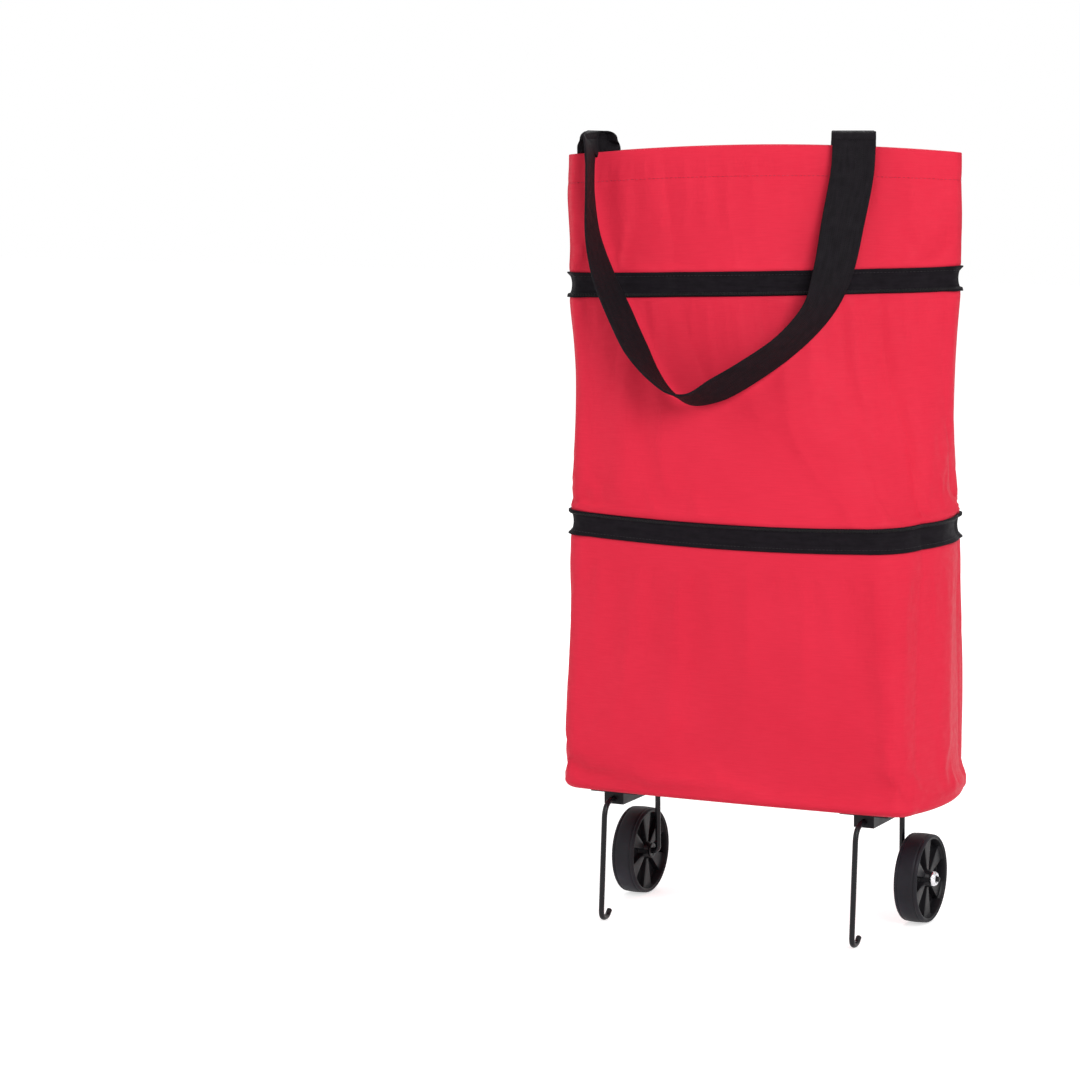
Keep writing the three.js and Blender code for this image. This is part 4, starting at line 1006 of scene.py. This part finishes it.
def leg(hand, side):
    """A bent wire: hooked foot, front leg, level run in its bracket, rear leg and axle."""
    low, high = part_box(f"{hand}_leg_wire")
    pivot = joint(f"{hand}_leg_fold")["pos_m"]
    plane, pivot_z = pivot[0], pivot[2]
    axle = box_middle(f"{hand}_wheel_core")
    front, foot_bend, splay, foot_length, foot_tip = -0.080, 0.008, 0.009, 0.012, 0.0045
    tip = high[0] if side > 0 else low[0]
    bottom = WIRE / 2
    foot = front - splay

    def at(y, z, x=plane):
        return np.array([x, y, z])

    path = bent_path([
        (at(foot + foot_length + foot_tip, bottom + foot_tip), 0),
        (at(foot + foot_length, bottom), 0.003),
        (at(foot, bottom), foot_bend),
        (at(front, pivot_z), LEG_BEND),
        (at(axle[1], pivot_z), LEG_BEND),
        (at(axle[1], axle[2]), AXLE_BEND),
        (at(axle[1], axle[2], tip - side * 0.0012), 0),
    ])
    wire = tube(f"{hand}_leg_frame", path, WIRE / 2, WIRE_PAINT, 24)
    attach(wire, f"{hand}_leg")
    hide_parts(f"{hand}_leg_wire")
    washer(hand)
    push_nut(hand, side)


def washer(hand):
    low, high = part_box(f"{hand}_inner_washer")
    half, radius, bore = (high[0] - low[0]) / 2, (high[2] - low[2]) / 2, WIRE / 2 + RUNNING_GAP
    edge = 0.0002
    profile = [(bore, -half), (radius - edge, -half), (radius, -half + edge), (radius, half - edge),
               (radius - edge, half), (bore, half)]
    piece = lathe(f"{hand}_washer", profile, box_middle(f"{hand}_inner_washer"), PLASTIC, 64)
    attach(piece, f"{hand}_leg")
    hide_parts(f"{hand}_inner_washer")


def push_nut(hand, side):
    """The bright cap pressed on the axle's end, with its ring of notches."""
    low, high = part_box(f"{hand}_push_nut")
    middle = box_middle(f"{hand}_push_nut")
    half, radius, bore = (high[0] - low[0]) / 2, (high[2] - low[2]) / 2, WIRE / 2 + 0.0003
    profile = [(bore, -half), (radius * 0.97, -half), (radius, -half + 0.0004), (radius, -half + 0.0014),
               (radius * 0.93, 0.0002), (radius * 0.86, 0.0010), (radius * 0.76, half - 0.0003),
               (radius * 0.68, half), (radius * 0.58, half - 0.0001), (radius * 0.50, half - 0.0007),
               (bore + 0.0003, half - 0.0009), (bore, half - 0.0014)]

    def notched(x, turn):
        notch = smooth(0.72, 0.9, np.cos(6 * turn)) * smooth(-half + 0.0012, 0.0006, x)
        return 1 - 0.2 * notch * (x < half - 0.0006)

    nut = lathe(f"{hand}_axle_cap", profile, middle, STEEL, 144, (side, 0, 0), notched)
    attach(nut, f"{hand}_leg")
    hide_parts(f"{hand}_push_nut")


def seat_radius(hand):
    """Where the tyre meets the rim."""
    low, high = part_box(f"{hand}_wheel_core")
    return (high[2] - low[2]) / 2 - 0.0001


def wheel_core(hand, side):
    """Rim, six wedge spokes standing on a web, and hub, the same on both faces."""
    middle = box_middle(f"{hand}_wheel_core")
    low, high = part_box(f"{hand}_wheel_core")
    hub_half = (high[0] - low[0]) / 2
    seat = seat_radius(hand)
    rim_half, bore, hub, rim_inner = hub_half - 0.0006, WIRE / 2 + RUNNING_GAP, 0.0085, seat - 0.0016
    web, wedge = 0.0013, 0.0070
    columns = []  # (share across the recess or wedge, height there)
    columns += [("wedge", s, wedge - 0.0004 * abs(s) ** 6) for s in np.linspace(-1, 1, 9)]
    columns += [("slope", s, lerp(wedge - 0.0007, web, s)) for s in (0.25, 0.6, 0.95)]
    columns += [("recess", s, web + 0.0002 * abs(s) ** 4) for s in np.linspace(-1, 1, 9)]
    columns += [("slope_back", s, lerp(web, wedge - 0.0007, s)) for s in (0.05, 0.4, 0.75)]

    def half_width(radius):
        return np.interp(radius, [hub - 0.003, rim_inner], [0.0014, 0.0082]) / radius

    def angle(kind, share, radius):
        half, slope, sector = half_width(radius), 0.0007 / radius, TAU / SPOKES
        rest = sector / 2 - half - slope
        return {
            "wedge": half * share,
            "slope": half + slope * share,
            "recess": sector / 2 + rest * share,
            "slope_back": sector - half - slope * (1 - share),
        }[kind]

    radii = np.linspace(hub, rim_inner - 0.0006, 12)
    grid = []
    for sector in range(SPOKES):
        for kind, share, height in columns:
            face = [(bore, hub_half - 0.0005), (bore + 0.0005, hub_half), (hub - 0.0026, hub_half),
                    (hub - 0.0018, hub_half - 0.0006), (hub - 0.0008, height + 0.0012),
                    (hub - 0.0003, height + 0.0003)]
            face += [(r, height) for r in radii]
            face += [(rim_inner - 0.0001, height + 0.0005), (rim_inner + 0.0002, rim_half - 0.0009),
                     (rim_inner + 0.0005, rim_half - 0.0002), (rim_inner + 0.0009, rim_half),
                     (seat, rim_half - 0.0001)]
            column = []
            for r, x in [*face, *[(r, -x) for r, x in face[::-1]]]:
                turn = angle(kind, share, max(r, hub - 0.001)) + (sector + 0.5) * TAU / SPOKES
                column.append([side * x, r * math.cos(turn), r * math.sin(turn)])
            grid.append(column)
    grid = np.array(grid).transpose(1, 0, 2) + middle
    core = grid_piece(f"{hand}_wheel_disc", grid, PLASTIC)
    core.data.set_sharp_from_angle(angle=math.radians(40))
    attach(core, f"{hand}_wheel")
    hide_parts(f"{hand}_wheel_core")


def tyre(hand):
    """The tread: a crowned band between two grooves, with rounded shoulders."""
    low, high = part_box(f"{hand}_tyre")
    middle = box_middle(f"{hand}_tyre")
    radius, half = (high[2] - low[2]) / 2, (high[0] - low[0]) / 2
    inner = seat_radius(hand) + 0.0001
    right = [(radius, half * 0.1), (radius - 0.0001, half * 0.3), (radius - 0.0002, half * 0.5),
             (radius - 0.0003, half * 0.62), (radius - 0.0009, half * 0.66), (radius - 0.0010, half * 0.70),
             (radius - 0.0004, half * 0.74), (radius - 0.0005, half * 0.84), (radius - 0.0010, half * 0.93),
             (radius - 0.0017, half * 0.985), (radius - 0.0024, half), (inner + 0.0002, half * 0.99),
             (inner, half * 0.95)]
    profile = [*[(r, -x) for r, x in right[::-1]], *right]
    piece = lathe(f"{hand}_tread", profile, middle, RUBBER, 160)
    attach(piece, f"{hand}_wheel")
    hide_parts(f"{hand}_tyre")


def softened(node, material, width):
    """A CAD node that stays, with its edges rounded and its real finish."""
    obj = frame["nodes"][node]
    obj.data.materials.clear()
    obj.data.materials.append(material)
    bevel = obj.modifiers.new("edges", "BEVEL")
    bevel.width, bevel.segments, bevel.limit_method, bevel.angle_limit = width, 3, "ANGLE", math.radians(40)
    bevel.harden_normals = True


def rivets(hand):
    """Domed rivets through the flange, the floor and the board."""
    pieces = []
    for k in range(1, 5):
        low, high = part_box(f"{hand}_rivet_{k}")
        middle = (low + high) / 2
        head, shank = 0.0045, 0.002
        half = (high[2] - low[2]) / 2
        dome = [(head * math.sin(t), half - 0.0016 * (1 - math.cos(t))) for t in np.linspace(0.02, 1.57, 9)]
        profile = [*dome, (shank, half - 0.0016), (shank, -half + 0.0016), *[(r, -z) for r, z in dome[::-1]]]
        pieces.append(turned(profile, np.array(middle), UP, 32))
    made = grid_pieces(f"{hand}_rivets", pieces, STEEL)
    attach(made, "base")
    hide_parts(*[f"{hand}_rivet_{k}" for k in range(1, 5)])


# ------------------------------------------------------------------ studio
AMBIENT = 0.55
FLOOR_GLOW = 0.62
LAMPS = [  # name, place, size and power
    ("key_lamp", (2.0, -1.7, 1.9), 1.6, 42),
    ("fill_lamp", (-2.2, -2.2, 1.5), 2.0, 16),
    ("back_lamp", (-0.6, 2.4, 2.2), 1.6, 26),
]
CAMERA_AZIMUTH = math.radians(23.9)
CAMERA_DISTANCE, CAMERA_HEIGHT, CAMERA_TILT = 3.0, 0.75, math.radians(8)


def studio():
    reach, below = 9, -0.0004
    corners = [(-reach, -reach, below), (reach, -reach, below), (reach, reach, below), (-reach, reach, below)]
    floor = mesh_object("floor", corners, [(0, 1, 2, 3)])
    f = Finish("floor_white", 0xE8E8E8, 1.0, 0.0)
    rays = f.node("LightPath").outputs
    seen = f.math("MAXIMUM", f.math("MAXIMUM", rays["Is Camera Ray"], rays["Is Glossy Ray"]),
                  rays["Is Transmission Ray"])
    glow = f.node("Emission")
    f.link(f.math("MULTIPLY", seen, FLOOR_GLOW), glow.inputs["Strength"])
    both = f.node("AddShader")
    f.link(f.shader.outputs[0], both.inputs[0])
    f.link(glow.outputs[0], both.inputs[1])
    f.link(both.outputs[0], f.tree.nodes["Material Output"].inputs["Surface"])
    floor.data.materials.append(f.material)

    world = bpy.data.worlds.new("studio")
    bpy.context.scene.world = world
    world.use_nodes = True
    nodes, links = world.node_tree.nodes, world.node_tree.links
    back = nodes["Background"]
    back.inputs["Color"].default_value = (1, 1, 1, 1)
    path = nodes.new("ShaderNodeLightPath")
    first, second, level = (nodes.new("ShaderNodeMath") for _ in range(3))
    first.operation = second.operation = "MAXIMUM"
    links.new(path.outputs["Is Camera Ray"], first.inputs[0])
    links.new(path.outputs["Is Glossy Ray"], first.inputs[1])
    links.new(first.outputs[0], second.inputs[0])
    links.new(path.outputs["Is Transmission Ray"], second.inputs[1])
    level.operation = "MULTIPLY_ADD"
    links.new(second.outputs[0], level.inputs[0])
    level.inputs[1].default_value = 1 - AMBIENT
    level.inputs[2].default_value = AMBIENT
    links.new(level.outputs[0], back.inputs["Strength"])

    aim = Vector((0, 0, 0.36))
    for name, where, size, power in LAMPS:
        lamp = bpy.data.lights.new(name, "AREA")
        lamp.shape, lamp.size, lamp.energy = "DISK", size, power
        obj = bpy.data.objects.new(name, lamp)
        bpy.context.scene.collection.objects.link(obj)
        obj.location = where
        obj.rotation_euler = (aim - Vector(where)).to_track_quat("-Z", "Y").to_euler()


def camera():
    data = bpy.data.cameras.new("camera")
    data.lens, data.sensor_width = 113.03, 36
    data.shift_x, data.shift_y = -0.2085, 0.0132
    obj = bpy.data.objects.new("camera", data)
    bpy.context.scene.collection.objects.link(obj)
    obj.location = (math.sin(CAMERA_AZIMUTH) * CAMERA_DISTANCE,
                    -math.cos(CAMERA_AZIMUTH) * CAMERA_DISTANCE, CAMERA_HEIGHT)
    obj.rotation_euler = (math.pi / 2 - CAMERA_TILT, 0, CAMERA_AZIMUTH)
    bpy.context.scene.camera = obj


# ------------------------------------------------------------------ everything in its place
camera()
studio()
lower_section()
bag_floor()
middle_section()
upper_section()
zip_band("lower_zip_band", LOWER_BAND, MIDDLE_START, "base", True)
zip_band("upper_zip_band", UPPER_BAND, UPPER_START, "upper", False)
zip_slider()
snap("snap_stud", 1, 0.0024)
snap("snap_socket", -1, 0.0042)
handle("front", 1)
handle("back", -1)
for hand, side in (("left", -1), ("right", 1)):
    leg(hand, side)
    wheel_core(hand, side)
    tyre(hand)
    rivets(hand)
    softened(f"{hand}_bracket", PLASTIC, 0.0007)
softened("base_board", FIBRE, 0.0006)

scene = bpy.context.scene
scene.view_settings.view_transform = "Standard"
